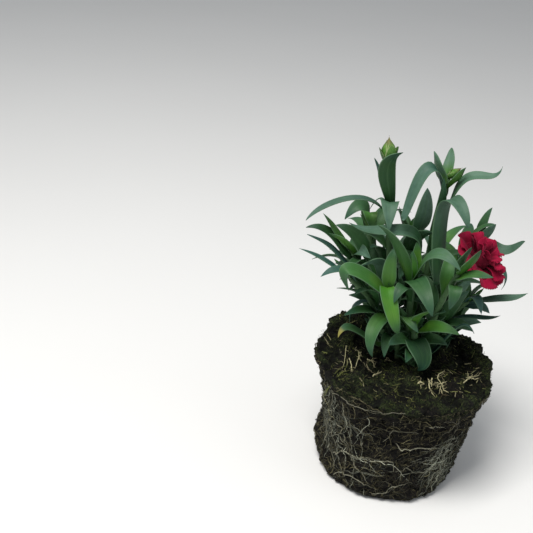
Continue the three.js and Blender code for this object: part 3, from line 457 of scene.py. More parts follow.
# More of them round the side and back, by the CAD's rule.
MORE_ROOTS = 5
MORE_ROOTS_LOOK = (0.32, 0.6)  # radius and paleness
MORE_ROOTS_FROM = -35  # degrees
MORE_ROOTS_SPAN = 215
MORE_ROOTS_HEIGHT = (14, 60)
STEEP_STEP = (5, -11)  # degrees and millimetres from one stop to the next
LEVEL_STEP = 13  # degrees
STOP_SLACK = (6, 5)  # degrees and millimetres
ROOT_LOWEST = 6
ROOT_SEED = 11

# ---- small helpers ----


def seeded(seed):
    """The CAD's generator of numbers from 0 to 1."""
    mask = 0xFFFFFFFF
    state = seed

    def draw():
        nonlocal state
        state = (state + 0x6D2B79F5) & mask
        mixed = ((state ^ (state >> 15)) * (state | 1)) & mask
        mixed ^= (mixed + ((mixed ^ (mixed >> 7)) * (mixed | 61))) & mask
        return ((mixed ^ (mixed >> 14)) & mask) / 4294967296

    return draw


def between(limits, share):
    """The number at a share of the way from a lower to an upper limit."""
    low, high = limits
    return low + (high - low) * share


def unit(vectors):
    """The vectors at length 1."""
    return vectors / np.linalg.norm(vectors, axis=-1, keepdims=True)


def smooth(x):
    """A soft step from 0 to 1."""
    x = np.clip(x, 0, 1)
    return x * x * (3 - 2 * x)


def averaged(rows, width):
    """Each row's moving average over so many values."""
    return np.array([np.convolve(row, np.ones(width) / width, "valid") for row in rows])


def around(count):
    """Angles of a full turn in equal steps, without its end."""
    return np.linspace(0, 2 * np.pi, count, endpoint=False)


def in_steps(stops, steps):
    """A path through its stops in equal steps, one row for each measure."""
    stops = np.array(stops, float)
    share = np.linspace(0, 1, len(stops))
    t = np.linspace(0, 1, steps)
    return np.array([np.interp(t, share, measure) for measure in stops.T])


def through(points):
    """A smooth curve through its points, each reached at its share of the chords' length."""
    points = np.array(points, float)
    chords = np.linalg.norm(np.diff(points, axis=0), axis=1)
    shares = np.concatenate([[0], np.cumsum(chords)]) / chords.sum()

    def at(t):
        t = np.atleast_1d(t)
        total = np.zeros((len(t), 3))
        for i, share in enumerate(shares):
            weight = np.ones(len(t))
            for j, other in enumerate(shares):
                if j != i:
                    weight = weight * (t - other) / (share - other)
            total += weight[:, None] * points[i]
        return total

    return at


def frames(curve, t, sideways):
    """Places on a curve, and two directions there that are square to it."""
    along = unit(curve(np.minimum(t + 1e-4, 1)) - curve(np.maximum(t - 1e-4, 0)))
    side = unit(sideways - along * (along @ sideways)[:, None])
    return curve(t), side, np.cross(along, side)


def turned(vector, axis, degrees):
    """A vector turned about an axis of length 1."""
    angle = math.radians(degrees)
    across = np.cross(axis, vector)
    return (
        vector * math.cos(angle)
        + across * math.sin(angle)
        + axis * (axis @ vector) * (1 - math.cos(angle))
    )


def grid_faces(rows, columns):
    """The faces of a grid of points, and the points' numbers by row and column."""
    index = np.arange(rows * columns).reshape(rows, columns)
    corners = [index[:-1, :-1], index[1:, :-1], index[1:, 1:], index[:-1, 1:]]
    return np.stack(corners, -1).reshape(-1, 4), index


class Shape:
    """A mesh in the making: points in millimetres, faces, and named values at each point."""

    def __init__(self, *names):
        self.names = names
        self.points = []
        self.faces = []
        self.slots = []
        self.values = {name: [] for name in names}
        self.count = 0

    def add(self, points, faces, slot=0, **values):
        """Adds a patch. A value is one number, or one for each point."""
        points = np.asarray(points, float).reshape(-1, 3)
        for face in faces:
            self.faces.append([int(i) + self.count for i in face])
        self.slots += [slot] * len(faces)
        self.points.append(points)
        self.count += len(points)
        for name in self.names:
            value = np.broadcast_to(np.asarray(values.get(name, 0), float).ravel(), (len(points),))
            self.values[name].append(value)

    def add_rings(self, rings, slot=0, start=True, end=True, **values):
        """Adds a skin round rings of points, counter-clockwise seen from the last ring."""
        rings = np.asarray(rings, float)
        count, sides = rings.shape[:2]
        low = (np.arange(count - 1)[:, None] * sides + np.arange(sides)).ravel()
        turn = (np.arange(count - 1)[:, None] * sides + (np.arange(sides) + 1) % sides).ravel()
        faces = np.stack([low, turn, turn + sides, low + sides], 1).tolist()
        if start:
            faces.append(list(range(sides))[::-1])
        if end:
            faces.append(list(range((count - 1) * sides, count * sides)))
        self.add(rings, faces, slot, **values)

    def piece(self, name, materials, slot, replaces=()):
        """Makes the object, in metres, riding on the plant."""
        mesh = bpy.data.meshes.new(name)
        mesh.from_pydata((np.concatenate(self.points) * METRES).tolist(), [], self.faces)
        for key in self.names:
            attribute = mesh.attributes.new(key, "FLOAT", "POINT")
            attribute.data.foreach_set("value", np.concatenate(self.values[key]).astype(np.float32))
        for material in materials:
            mesh.materials.append(material)
        mesh.polygons.foreach_set("material_index", self.slots)
        mesh.shade_smooth()
        mesh.update()
        piece = bpy.data.objects.new(name, mesh)
        bpy.context.scene.collection.objects.link(piece)
        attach(piece, "root")
        if replaces:
            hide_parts(*replaces)


# ---- materials ----


class Graph:
    """A material in the making: a base colour, and others that are laid over it."""

    def __init__(self, name, base, specular, **settings):
        self.material = bpy.data.materials.new(name)
        self.material.use_nodes = True
        self.tree = self.material.node_tree
        self.shader = self.tree.nodes["Principled BSDF"]
        self.place = self.new("TexCoord").outputs["Object"]
        self.colour = base
        for key, value in {"Specular_IOR_Level": specular, **settings}.items():
            self.put(self.shader.inputs[key.replace("_", " ")], value)

    def new(self, kind):
        """A new node of the kind."""
        return self.tree.nodes.new(f"ShaderNode{kind}")

    def put(self, socket, value):
        """Links a socket's value, or sets a plain one."""
        if isinstance(value, bpy.types.NodeSocket):
            self.tree.links.new(value, socket)
        elif isinstance(value, tuple) and len(value) == 3 and socket.type == "RGBA":
            socket.default_value = (*value, 1)
        else:
            socket.default_value = value

    def wired(self, node, inputs, output=0):
        """A node's output, once its inputs are set."""
        for socket, value in inputs.items():
            self.put(node.inputs[socket], value)
        return node.outputs[output]

    def value(self, name):
        """A named value of the mesh's points."""
        node = self.new("Attribute")
        node.attribute_name = name
        return node.outputs["Fac"]

    def math(self, kind, a, b=0.0):
        """An operation on one or two numbers."""
        node = self.new("Math")
        node.operation = kind
        return self.wired(node, {0: a, 1: b})

    def times(self, a, b):
        """The product of two numbers."""
        return self.math("MULTIPLY", a, b)

    def remap(self, value, low, high, start=0.0, end=1.0):
        """A soft step: the start where a value is under the low limit, the end over the high."""
        node = self.new("MapRange")
        node.interpolation_type = "SMOOTHSTEP"
        return self.wired(node, {0: value, 1: low, 2: high, 3: start, 4: end})

    def scaled(self, value, other, *limits):
        """A value times a soft step of another."""
        return self.times(value, self.remap(other, *limits))

    def join(self, x, y, z=0.0):
        """A place made of three numbers."""
        return self.wired(self.new("CombineXYZ"), {0: x, 1: y, 2: z})

    def noise(self, scale, detail=3.0, place=None, rough=0.55):
        """Cloudy noise from 0 to 1, at a scale in waves a metre."""
        inputs = {"Vector": place or self.place, "Scale": scale, "Detail": detail, "Roughness": rough}
        return self.wired(self.new("TexNoise"), inputs, "Fac")

    def mix(self, share, a, b):
        """A share of the way from one colour to another."""
        node = self.new("Mix")
        node.data_type = "RGBA"
        return self.wired(node, {0: share, 6: a, 7: b}, 2)

    def tint(self, colour, value, *limits):
        """Lays a colour over the material's, by a value or a soft step of it."""
        share = self.remap(value, *limits) if limits else value
        self.colour = self.mix(share, self.colour, colour)

    def finish(self, roughness, height=None, depth=0.0):
        """Sets the shader, with a relief of so many metres. Gives the material."""
        self.put(self.shader.inputs["Base Color"], self.colour)
        self.put(self.shader.inputs["Roughness"], roughness)
        if height is not None:
            inputs = {"Strength": 1.0, "Distance": depth, "Height": height}
            self.put(self.shader.inputs["Normal"], self.wired(self.new("Bump"), inputs, "Normal"))
        return self.material


# Colours, as linear red, green and blue.
MATURE_GREEN = (0.0105, 0.042, 0.0165)
YOUNG_GREEN = (0.045, 0.175, 0.010)
GLOW_GREEN = (0.10, 0.23, 0.018)
BLUE_GREEN = (0.012, 0.062, 0.075)
# The streak green and the wax grey are partly painted highlight and painted sky sheen.
STREAK_AND_HIGHLIGHT_GREEN = (0.075, 0.19, 0.045)
WAX_AND_SHEEN_GREY = (0.105, 0.195, 0.145)
VEIN_DARK = (0.004, 0.018, 0.007)
MARGIN_PALE = (0.11, 0.2, 0.115)
DRY_YELLOW = (0.22, 0.2, 0.05)
STEM_GREEN = (0.06, 0.125, 0.05)
STEM_SHADE = (0.04, 0.08, 0.035)
STEM_STRAW = (0.09, 0.09, 0.045)
BUD_GREEN = (0.055, 0.17, 0.02)
BUD_YELLOW = (0.13, 0.27, 0.045)
BUD_RIB = (0.03, 0.09, 0.02)
SCALE_GREEN = (0.025, 0.08, 0.03)
SCALE_PALE = (0.30, 0.36, 0.17)
BUD_FLUSH = (0.20, 0.11, 0.075)
# The throat colour is partly painted shade; the lit colour is painted highlight.
PETAL_THROAT_AND_SHADE = (0.03, 0.0006, 0.0045)
PETAL_CRIMSON = (0.245, 0.0028, 0.027)
PETAL_RAY = (0.14, 0.0012, 0.009)
PETAL_LIT = (0.37, 0.013, 0.056)
PETAL_SHEEN = (0.9, 0.25, 0.4)
PEAT_BLACK = (0.0022, 0.0022, 0.0022)
PEAT_BROWN = (0.040, 0.030, 0.020)
PEAT_DAMP = (0.0035, 0.0042, 0.0042)
# Painted shade in the peat's hollows and in the moss's low parts.
PEAT_HOLLOW_SHADE = (0.0012, 0.0013, 0.0015)
MOSS_PAINTED_SHADE = (0.0022, 0.0036, 0.0018)
MOSS_OLIVE = (0.060, 0.085, 0.023)
# The darkest and the palest strands of each kind.
FIBRE_COLOURS = ((0.012, 0.011, 0.007), (0.33, 0.30, 0.16))
ROOT_COLOURS = ((0.04, 0.036, 0.022), (0.29, 0.285, 0.205))
FINE_ROOT_COLOURS = ((0.034, 0.039, 0.029), (0.74, 0.77, 0.60))
MOSS_COLOURS = ((0.004, 0.007, 0.004), (0.42, 0.46, 0.12))
STRAW_COLOURS = ((0.035, 0.024, 0.012), (0.56, 0.52, 0.30))
STALK_COLOURS = ((0.012, 0.018, 0.004), (0.32, 0.36, 0.09))
STRAW_SPECK = (0.06, 0.045, 0.02)
FLOOR_COLOURS = ((0.70, 0.70, 0.69), (0.73, 0.73, 0.72))


def leaf_material():
    """A waxy leaf, younger towards its root and bluer towards its tip, with veins and margins. Its waxy grey
    is partly painted sky sheen, and its pale streaks are partly painted highlight.
    """
    graph = Graph("leaf", MATURE_GREEN, 0.22)
    along, across, tone = graph.value("along"), graph.value("across"), graph.value("tone")
    away = graph.math("ABSOLUTE", across)
    clouds = graph.noise(220, 3)
    veins = graph.noise(1, 2, graph.join(graph.times(across, 7.5), tone))
    vein_and_highlight_streaks = graph.noise(1, 3, graph.join(graph.times(across, 22.0), graph.times(along, 1.5), tone))
    young = graph.scaled(graph.value("young"), along, 0.6, 1.0, 1.0, 0.35)
    graph.tint(YOUNG_GREEN, graph.scaled(young, away, 0.2, 1.0, 1.0, 0.75))
    graph.tint(GLOW_GREEN, graph.scaled(graph.value("young"), graph.noise(55, 2), 0.42, 0.68, 0.0, 0.55))
    blue = graph.math("ADD", graph.value("blue"), graph.remap(along, 0.7, 1.0, 0.0, 0.3))
    graph.tint(BLUE_GREEN, blue)
    # Waxy grey towards the tip: partly the real bloom, partly painted sky sheen where the tips face up.
    wax_and_sheen = graph.scaled(graph.value("wax_and_sheen"), along, 0.3, 0.62, 0.04, 0.9)
    graph.tint(WAX_AND_SHEEN_GREY, graph.scaled(wax_and_sheen, clouds, 0.25, 0.75, 0.7, 1.15))
    graph.tint(VEIN_DARK, veins, 0.3, 0.7, 0.0, 0.2)
    graph.tint(VEIN_DARK, away, 0.0, 0.1, 0.14, 0.0)
    graph.tint(MARGIN_PALE, graph.scaled(graph.value("under"), away, 0.02, 0.12, 0.15, 0.0))
    graph.tint(MARGIN_PALE, away, 0.84, 1.0, 0.0, 0.75)
    graph.tint(VEIN_DARK, tone, 0.0, 1.0, 0.0, 0.3)
    # Pale lengthwise streaks: partly fine veins, partly painted highlight streaks.
    graph.tint(STREAK_AND_HIGHLIGHT_GREEN, vein_and_highlight_streaks, 0.4, 0.65, 0.0, 0.16)
    graph.tint(DRY_YELLOW, graph.scaled(graph.value("dry"), along, 0.84, 0.93))
    graph.tint(WAX_AND_SHEEN_GREY, graph.noise(950, 1), 0.75, 0.81, 0.0, 0.35)
    relief = graph.math("ADD", graph.times(veins, 0.7), graph.times(graph.noise(1500, 2), 0.3))
    return graph.finish(graph.remap(clouds, 0.2, 0.8, 0.45, 0.62), relief, 0.0002)


def stem_material():
    """A pale waxy stem, straw-coloured near the soil."""
    graph = Graph("stem", STEM_STRAW, 0.22)
    clouds = graph.noise(400, 3)
    graph.tint(STEM_GREEN, graph.value("along"), 0.02, 0.3)
    graph.tint(STEM_SHADE, clouds, 0.35, 0.75, 0.0, 0.5)
    return graph.finish(0.55, clouds, 0.0003)


def bud_material():
    """Bud and bracts: yellow-green and ribbed, with a flushed tip and pale margins."""
    graph = Graph("bud", BUD_GREEN, 0.22)
    along, across = graph.value("along"), graph.value("across")
    ribs = graph.noise(1, 2, graph.join(graph.times(across, 9.0), graph.times(along, 0.6)))
    graph.tint(BUD_YELLOW, graph.noise(500, 3), 0.3, 0.7)
    graph.tint(BUD_RIB, ribs, 0.35, 0.7, 0.0, 0.4)
    graph.tint(SCALE_GREEN, graph.value("green"))
    graph.tint(SCALE_PALE, graph.times(graph.value("margin"), 0.7))
    graph.tint(BUD_FLUSH, graph.scaled(graph.remap(along, 0.55, 0.92), ribs, 0.35, 0.6, 0.15, 0.9))
    return graph.finish(0.5, ribs, 0.0003)


def petal_material():
    """Velvety crimson, darker towards the throat partly as painted shade, with faint rays and patches of
    painted highlight.
    """
    sheen = {"Sheen_Weight": 0.1, "Sheen_Roughness": 0.5, "Sheen_Tint": PETAL_SHEEN}
    graph = Graph("petal", PETAL_THROAT_AND_SHADE, 0.1, **sheen)
    out, across = graph.value("out"), graph.value("across")
    rays = graph.noise(1, 3, graph.join(graph.times(across, 8.0), out, graph.value("tone")))
    # Darker towards the throat: partly the petal's own darker base, partly painted shade deep in the flower.
    graph.tint(PETAL_CRIMSON, out, 0.1, 0.85)
    graph.tint(PETAL_RAY, rays, 0.3, 0.75, 0.0, 0.3)
    # Lighter patches: painted highlight on the velvet.
    graph.tint(PETAL_LIT, graph.noise(150, 3), 0.5, 0.75, 0.0, 0.45)
    relief = graph.math("ADD", rays, graph.times(graph.noise(1200, 2), 0.3))
    return graph.finish(0.75, relief, 0.0003)


def soil_material():
    """Dark moist peat, with painted shade in its cracks and hollows, and a mossy top with painted shade in
    its low parts.
    """
    graph = Graph("soil", PEAT_BLACK, 0.2)
    fine, broad = graph.noise(900, 6, rough=0.75), graph.noise(140, 4)
    # The moss is darker where its relief is low: painted shade.
    green = graph.mix(graph.remap(fine, 0.42, 0.68), MOSS_PAINTED_SHADE, MOSS_OLIVE)
    graph.tint(PEAT_BROWN, fine, 0.45, 0.75)
    graph.tint(PEAT_DAMP, broad, 0.4, 0.7, 0.0, 0.6)
    graph.tint(green, graph.scaled(graph.value("moss"), graph.noise(75, 3), 0.38, 0.56))
    # Painted shade where the peat sinks into hollows.
    graph.tint(PEAT_HOLLOW_SHADE, graph.times(graph.value("hollow"), 0.85))
    return graph.finish(0.95, fine, 0.0018)


def strand_material(name, colours, roughness):
    """Strands whose own tone runs between two colours."""
    dark, light = colours
    graph = Graph(name, dark, 0.25)
    clouds = graph.noise(900, 3)
    graph.tint(light, graph.value("tone"))
    graph.tint(tuple(0.3 * part for part in dark), clouds, 0.35, 0.75, 0.0, 0.6)
    return graph.finish(roughness, clouds, 0.0002)


def straw_material():
    """Pale straw and, where the bits are green, moss stalks."""
    dark, light = STRAW_COLOURS
    graph = Graph("straw", dark, 0.25)
    clouds = graph.noise(800, 3)
    graph.tint(light, graph.value("tone"))
    graph.tint(graph.mix(graph.value("tone"), *STALK_COLOURS), graph.value("green"))
    graph.tint(STRAW_SPECK, clouds, 0.4, 0.75, 0.0, 0.6)
    return graph.finish(0.7, clouds, 0.0003)


def floor_material():
    """A plain pale floor."""
    dark, light = FLOOR_COLOURS
    graph = Graph("floor", dark, 0.2)
    graph.tint(light, graph.noise(3, 2))
    return graph.finish(0.8)


# ---- leaves and stems ----


def level_side(points):
    """A leaf's sideways direction: level, and square to the way from its root to its tip."""
    way = points[-1] - points[0]
    return unit(np.array([-way[1], way[0], 0]))


def bends_of(sizes, ways):
    """Ways to bend a leaf, as lean, swing and lift."""
    return [(0, swing * size, lift * size) for size in sizes for swing, lift in ways]


SIX_WAYS = [(1, 0), (-1, 0), (0, 1), (0, -1), (1, 1), (-1, 1)]
LEANS = [0, 2, -2, 4, -4, 6, -6, 8, -8, 11, -11, 14, -14, 18, -18]
NAMED_BENDS = [(lean, 0, 0) for lean in LEANS] + bends_of([9, 16, 24], SIX_WAYS)
RULE_BENDS = [(0, 0, 0)] + bends_of([8, 15, 23], SIX_WAYS + [(1, -1), (-1, -1)])


def bent(points, lean, swing, lift):
    """A leaf's points, bent as the CAD bends them."""
    side = level_side(points)
    made = [points[0]]
    for i, point in enumerate(points[1:], 1):
        arm = turned(turned(point - points[0], side, -lift), UP, swing)
        made.append(points[0] + arm + CROWDED_LEAN * lean * i / (len(points) - 1))
    return np.array(made)


def as_in_cad(points, bends, vertices):
    """The leaf bent as its node has it: its tip is a vertex there. None if it isn't there."""
    for bend in bends:
        trial = bent(points, *bend)
        if np.min(np.linalg.norm(vertices - trial[-1], axis=1)) < TIP_MATCH:
            return trial
    return None


def rule_leaf(stem, curve, index, draw):
    """The leaf that the CAD's rule puts on a stem: its share up it, points, width and turn."""
    count, heading, spread, length, highest = stem["more"]
    share = LOWEST_SHARE + (highest - LOWEST_SHARE) * (index + 0.5) / count
    golden = (index * GOLDEN_SHARE + draw() * GOLDEN_SLACK) % 1
    angle = math.radians(heading + spread * (2 * golden - 1))
    reach = length * between(RULE_REACH, draw())
    rise = RULE_RISE[0] + RULE_RISE[1] * share + RULE_RISE_SLACK * draw()
    out = np.array([math.cos(angle), math.sin(angle), 0])
    root = curve(share)[0]

    def stop(far, farther, high, higher):
        return root + reach * (out * (far + farther * rise) + UP * (high + higher * rise))

    points = np.array([root, stop(*RULE_MIDDLE), stop(*RULE_TIP)])
    width = between(RULE_WIDTH, draw())
    return share, points, width, RULE_TURN * (2 * draw() - 1)


def blade_width(t, over):
    """Width of a blade along it, over its full width."""
    wide = BLADE_ROOT + (1 - BLADE_ROOT) * smooth(t / over)
    return wide * np.maximum(0, 1 - t**BLADE_TAPER) ** BLADE_POINT


def blade_heights(half, across, wave, thickness):
    """Heights of a blade's upper and lower sides over its level, across each section."""
    away = np.abs(across)
    slender = np.minimum(1, half / SLENDER_HALF)
    thick = between((LEAF_EDGE_THICKNESS, LEAF_RIB_THICKNESS), 1 - away**2) * slender * thickness
    furrow = LEAF_GROOVE * np.exp(-((away / LEAF_GROOVE_REACH) ** 2)) * slender
    middle = half * BLADE_FOLD * away**LEAF_FOLD_CURVE + wave
    return middle + thick / 2 - furrow, middle - thick / 2 - furrow * 0.5


def add_leaf(shape, points, width, turn, look, draw, over=BLADE_OPEN, thickness=1, t=LEAF_STATIONS):
    """A blade with a furrowed upper side, a keel, thin margins and a pointed tip."""
    places, side, up = frames(through(points), t, level_side(points))
    angle = np.radians(turn) * smooth(t / over) + np.radians(LEAF_TWIST * draw.normal()) * t**2
    angle = angle[:, None]
    wide = side * np.cos(angle) + up * np.sin(angle)
    high = up * np.cos(angle) - side * np.sin(angle)
    half = (width * blade_width(t, over) / 2)[:, None]
    across = np.cos(np.linspace(0, np.pi, LEAF_COLUMNS))[None, :]
    phase = t[:, None] * draw.uniform(*LEAF_WAVE_PACE) + draw.uniform(0, 6) + across
    wave = LEAF_WAVE * np.sin(phase) * across * smooth(t / LEAF_WAVE_FULL)[:, None]
    upper, lower = (
        places[:, None] + wide[:, None] * (half * across)[..., None] + high[:, None] * height[..., None]
        for height in blade_heights(half, across, wave, thickness)
    )
    rings = np.concatenate([upper, lower[:, ::-1]], axis=1)
    both = np.concatenate([across, across[:, ::-1]], axis=1)
    under = np.concatenate([across * 0, across * 0 + 1], axis=1)
    shape.add_rings(
        rings,
        along=np.repeat(t, rings.shape[1]),
        across=np.tile(both, (len(t), 1)),
        under=np.tile(under, (len(t), 1)),
        tone=draw.uniform(),
        **dict(zip(LOOK_PARTS, LOOKS[look])),
    )


def add_stem(shape, stem, shares):
    """A tapered stem, swollen where leaves join it."""
    t = np.linspace(0, 1, STEM_RINGS)
    places, side, up = frames(through(stem["axis"]), t, np.array([1.0, 0, 0]))
    radius = stem["radius"] * (1 - (1 - STEM_TAPER) * t)
    length = np.linalg.norm(np.subtract(stem["axis"][-1], stem["axis"][0]))
    for share in shares:
        swell = NODE_SWELL * np.exp(-(((t - share) * length / NODE_REACH) ** 2))
        radius = radius + swell / (1 + radius * NODE_LIMIT)
    angles = around(STEM_SIDES)[None, :, None]
    rings = places[:, None] + radius[:, None, None] * (
        side[:, None] * np.cos(angles) + up[:, None] * np.sin(angles)
    )
    shape.add_rings(rings, slot=1, along=np.repeat(t, STEM_SIDES))


def add_tip_leaves(shape, curve, draw):
    """Small young leaves that stand together at a shoot's growing tip."""
    root = curve(0.97)[0]
    way = unit(curve(1.0)[0] - curve(0.9)[0])
    for i in range(TIP_LEAVES):
        angle = TIP_LEAF_STEP * i + draw.uniform(0, 1)
        out = np.array([math.cos(angle), math.sin(angle), 0.3])
        reach = draw.uniform(*TIP_LEAF_REACH)
        middle = root + way * reach * 0.5 + out * TIP_LEAF_SPREAD[0]
        tip = root + way * reach + out * TIP_LEAF_SPREAD[1]
        add_leaf(
            shape, np.array([root, middle, tip]), draw.uniform(*TIP_LEAF_WIDTH), 0, "bright", draw,
            thickness=TIP_LEAF_THICKNESS, t=SMALL_LEAF_STATIONS,
        )


def add_low_leaves(shape, curve, draw):
    """Short leaves low on a stem, which fill the plant's dark middle."""
    for i in range(LOW_LEAVES):
        share = between(LOW_LEAF_SHARES, (i + draw.uniform()) / LOW_LEAVES)
        angle = LOW_LEAF_STEP * i + draw.uniform(0, 1)
        out = np.array([math.cos(angle), math.sin(angle), 0])
        reach = draw.uniform(*LOW_LEAF_REACH)
        root = curve(share)[0]
        middle = root + reach * (out * LOW_LEAF_MIDDLE[0] + UP * LOW_LEAF_MIDDLE[1])
        tip = root + reach * (out * LOW_LEAF_TIP[0] + UP * LOW_LEAF_TIP[1])
        width = draw.uniform(*LOW_LEAF_WIDTH)
        turn = draw.uniform(-LOW_LEAF_TURN, LOW_LEAF_TURN)
        add_leaf(shape, np.array([root, middle, tip]), width, turn, "deep", draw, t=SMALL_LEAF_STATIONS)


def add_cad_leaves(shape, stem, curve, order, vertices, draw):
    """The named leaves and the rule's leaves that the CAD has. Gives their shares up the stem."""
    shares = []
    for share, points, width, turn, look, *over in stem["leaves"]:
        route = np.array([curve(share)[0], *points], float)
        found = as_in_cad(route, NAMED_BENDS, vertices)
        if found is not None:
            add_leaf(shape, found, width, turn, look, draw, *over)
            shares.append(share)
    rule = seeded(RULE_SEED + order)
    for i in range(stem["more"][0]):
        share, route, width, turn = rule_leaf(stem, curve, i, rule)
        found = as_in_cad(route, RULE_BENDS, vertices)
        if found is not None:
            look = RULE_LOOKS[draw.integers(len(RULE_LOOKS))]
            add_leaf(shape, found, width, turn, look, draw)
            shares.append(share)
    return shares


def make_stems():
    """One piece for each leafy stem."""
    materials = [leaf_material(), stem_material()]
    for order, (name, stem) in enumerate(STEMS.items()):
        node = f"stem_{name}"
        vertices = np.array([vertex.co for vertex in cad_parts[node].data.vertices]) / METRES
        shape = Shape("along", "across", "under", "tone", *LOOK_PARTS)
        curve = through(stem["axis"])
        draw = np.random.default_rng(LOOK_SEED + order)
        shares = add_cad_leaves(shape, stem, curve, order, vertices, draw)
        if name != "bloom" and name not in BUDS:
            add_tip_leaves(shape, curve, draw)
        add_low_leaves(shape, curve, draw)
        add_stem(shape, stem, shares)
        if name == "bloom":
            add_calyx(shape)
        shape.piece(f"leafy_{node}", materials, "leaf", [node])


# ---- flower ----


def round_axis(base, axis, rise, radius, angle):
    """Points so far up an axis, and so far off it at an angle, as the CAD's flower has them."""
    level = unit(np.array([-axis[1], axis[0], 0]))
    steep = np.cross(axis, level)
    return (
        base
        + axis * np.asarray(rise)[..., None]
        + level * (radius * np.cos(angle))[..., None]
        + steep * (radius * np.sin(angle))[..., None]
    )


def saw(turns):
    """A saw from 1 down to 0 and back over each turn."""
    return np.abs(2 * (turns % 1) - 1)


def add_calyx(shape):
    """The ribbed tube under the flower, with teeth at its mouth."""
    angles = around(CALYX_SIDES)
    teeth = CALYX_TOOTH * saw(angles * CALYX_TEETH / (2 * np.pi))
    rings = []
    for wide, high in CALYX_OUTLINE:
        cone = between((CALYX_FOOT_RADIUS, CALYX_MOUTH_RADIUS), max(0, high))
        radius = wide * cone * (1 + CALYX_RIB * np.cos(angles * CALYX_RIBS))
        height = high * CALYX_LENGTH + teeth * (high == 1)
        rings.append(round_axis(BLOOM_BASE, BLOOM_AXIS, height, radius, angles))
    shape.add_rings(rings, slot=1, end=False, along=0.8)


def petal_grid(layer, heading, draw):
    """The middle surface of a ruffled petal with a toothed edge, and its shares out and across."""
    out = np.linspace(0, 1, PETAL_ROWS)[:, None]
    across = np.linspace(-1, 1, PETAL_COLUMNS)[None, :]
    jags = draw.uniform(0.5, 1.0, PETAL_COLUMNS) * (saw(across * PETAL_TEETH / 2) - TOOTH_BASE)
    edge = PETAL_TOOTH * jags / layer["radius"]
    fan = np.radians(layer["half"]) * across * between((FAN_AT_CLAW, 1), np.sqrt(out))
    rounding = 1 - PETAL_ROUNDING * across**2 * out
    radius = CLAW_RADIUS + (layer["radius"] - CLAW_RADIUS) * out * rounding * (1 + edge * out**6)
    wave = layer["ruffle"] * out * np.sin(RUFFLE_WAVES * 2 * np.pi * across + heading * 3)
    frill = PETAL_FRILL * out**4 * np.sin(draw.uniform(9, 14) * across + draw.uniform(0, 6))
    cup = PETAL_CUP * out**2 * np.sin(draw.uniform(4, 7) * out + draw.uniform(0, 6))
    rise = between((layer["claw"], layer["edge"]), np.sin(out * np.pi * 0.5)) + wave + frill + cup
    points = round_axis(BLOOM_BASE, BLOOM_AXIS, CALYX_LENGTH + rise, radius, heading + fan)
    return points, out + 0 * across, across + 0 * out


def add_petal(shape, layer, heading, draw):
    """A petal as a thin closed sheet."""
    points, out, across = petal_grid(layer, heading, draw)
    normal = unit(np.cross(np.gradient(points, axis=0), np.gradient(points, axis=1)))
    top, index = grid_faces(PETAL_ROWS, PETAL_COLUMNS)
    under = top[:, ::-1] + index.size
    rim = np.concatenate([index[0, :-1], index[:-1, -1], index[-1, :0:-1], index[:0:-1, 0]])
    following = np.roll(rim, -1)
    edge = np.stack([rim, following, following + index.size, rim + index.size], 1)
    lift = normal * PETAL_THICKNESS / 2
    shape.add(
        np.concatenate([points + lift, points - lift]),
        [*top.tolist(), *under.tolist(), *edge.tolist()],
        out=np.tile(out.ravel(), 2),
        across=np.tile(across.ravel(), 2),
        tone=draw.uniform(0, 9),
    )


def make_bloom():
    """All petals of the double flower, and the core that they stand round."""
    shape = Shape("out", "across", "tone")
    draw = np.random.default_rng(PETAL_SEED)
    for parts in [*PETAL_LAYERS, *INNER_LAYERS]:
        layer = dict(zip(LAYER_PARTS, parts))
        for i in range(layer["count"]):
            add_petal(shape, layer, math.radians(layer["first"] + layer["step"] * i), draw)
    angles = around(HEART_SIDES)
    rings = [
        round_axis(BLOOM_BASE, BLOOM_AXIS, CALYX_LENGTH + rise, radius, angles)
        for radius, rise in HEART
    ]
    shape.add_rings(rings, out=0.3)
    shape.piece("petals", [petal_material()], "petal", ["bloom_petals"])


def add_scales(shape, layer, bud, base):
    """One layer of a bud: its body, or pointed bracts that wrap it."""
    radius, length, _, way = bud
    body = layer["top"] == 1
    heights = np.linspace(0, 1, BUD_ROWS)[:, None]
    columns = np.linspace(-1, 1, BUD_COLUMNS)[None, :]
    pointed = 1 + 0 * heights if body else np.sqrt(np.clip(1 - heights**SCALE_POINT, 0, 1))
    share = heights * layer["top"] + 0 * columns
    off = layer["off"] + layer["flare"] * heights**3
    reach = (np.interp(share, *zip(*BUD_OUTLINE)) + off) * radius
    faces = grid_faces(BUD_ROWS, BUD_COLUMNS)[0][:, [0, 3, 2, 1]]
    for i in range(layer["count"]):
        start = 2 * np.pi * (i / layer["count"] + layer["first"])
        angle = start + layer["spread"] * np.pi * columns * pointed
        shape.add(
            round_axis(base, unit(np.array(way, float)), share * length, reach, angle),
            faces.tolist(),
            along=share,
            across=columns + 3 * i + 0 * share,
            green=layer["green"],
            margin=(np.abs(columns) > SCALE_MARGIN) * (not body) + 0 * share,
        )


def make_buds():
    """The closed buds with the bracts round them."""
    for name, bud in BUDS.items():
        curve = through(STEMS[name]["axis"])
        base = curve(1.0)[0] + unit(curve(1.0)[0] - curve(1 - 1e-4)[0]) * bud[2]
        shape = Shape("along", "across", "green", "margin")
        for parts in BUD_LAYERS:
            add_scales(shape, dict(zip(BUD_PARTS, parts)), bud, base)
        shape.piece(f"sepals_{name}", [bud_material()], "bud", [name])


# ---- the root ball's form ----

BALL_COLUMNS = 440
WALL_STEPS = 100
SHOULDER_STEPS = 8
TOP_STEPS = 74
SHOULDER_HEIGHT = 70  # the wall starts to round into the top here
SHOULDER_INWARD = 0.95  # and the rounding ends at this share of the way out across the top
SHOULDER_DROP = 0.9  # how far it lies under the smooth top there
SHOULDER_CORNER = (1.2, 0.4)  # how far the rounding's corner lies under the rim and inside it
RIM_FALL = 1.2  # bits on the rim lie lower by so much
OVERHANG_DROOP = 70  # how far a bit droops once it has left the top, over the ball's radius
OVERHANG_FROM = 0.97  # share of the way out from which it droops
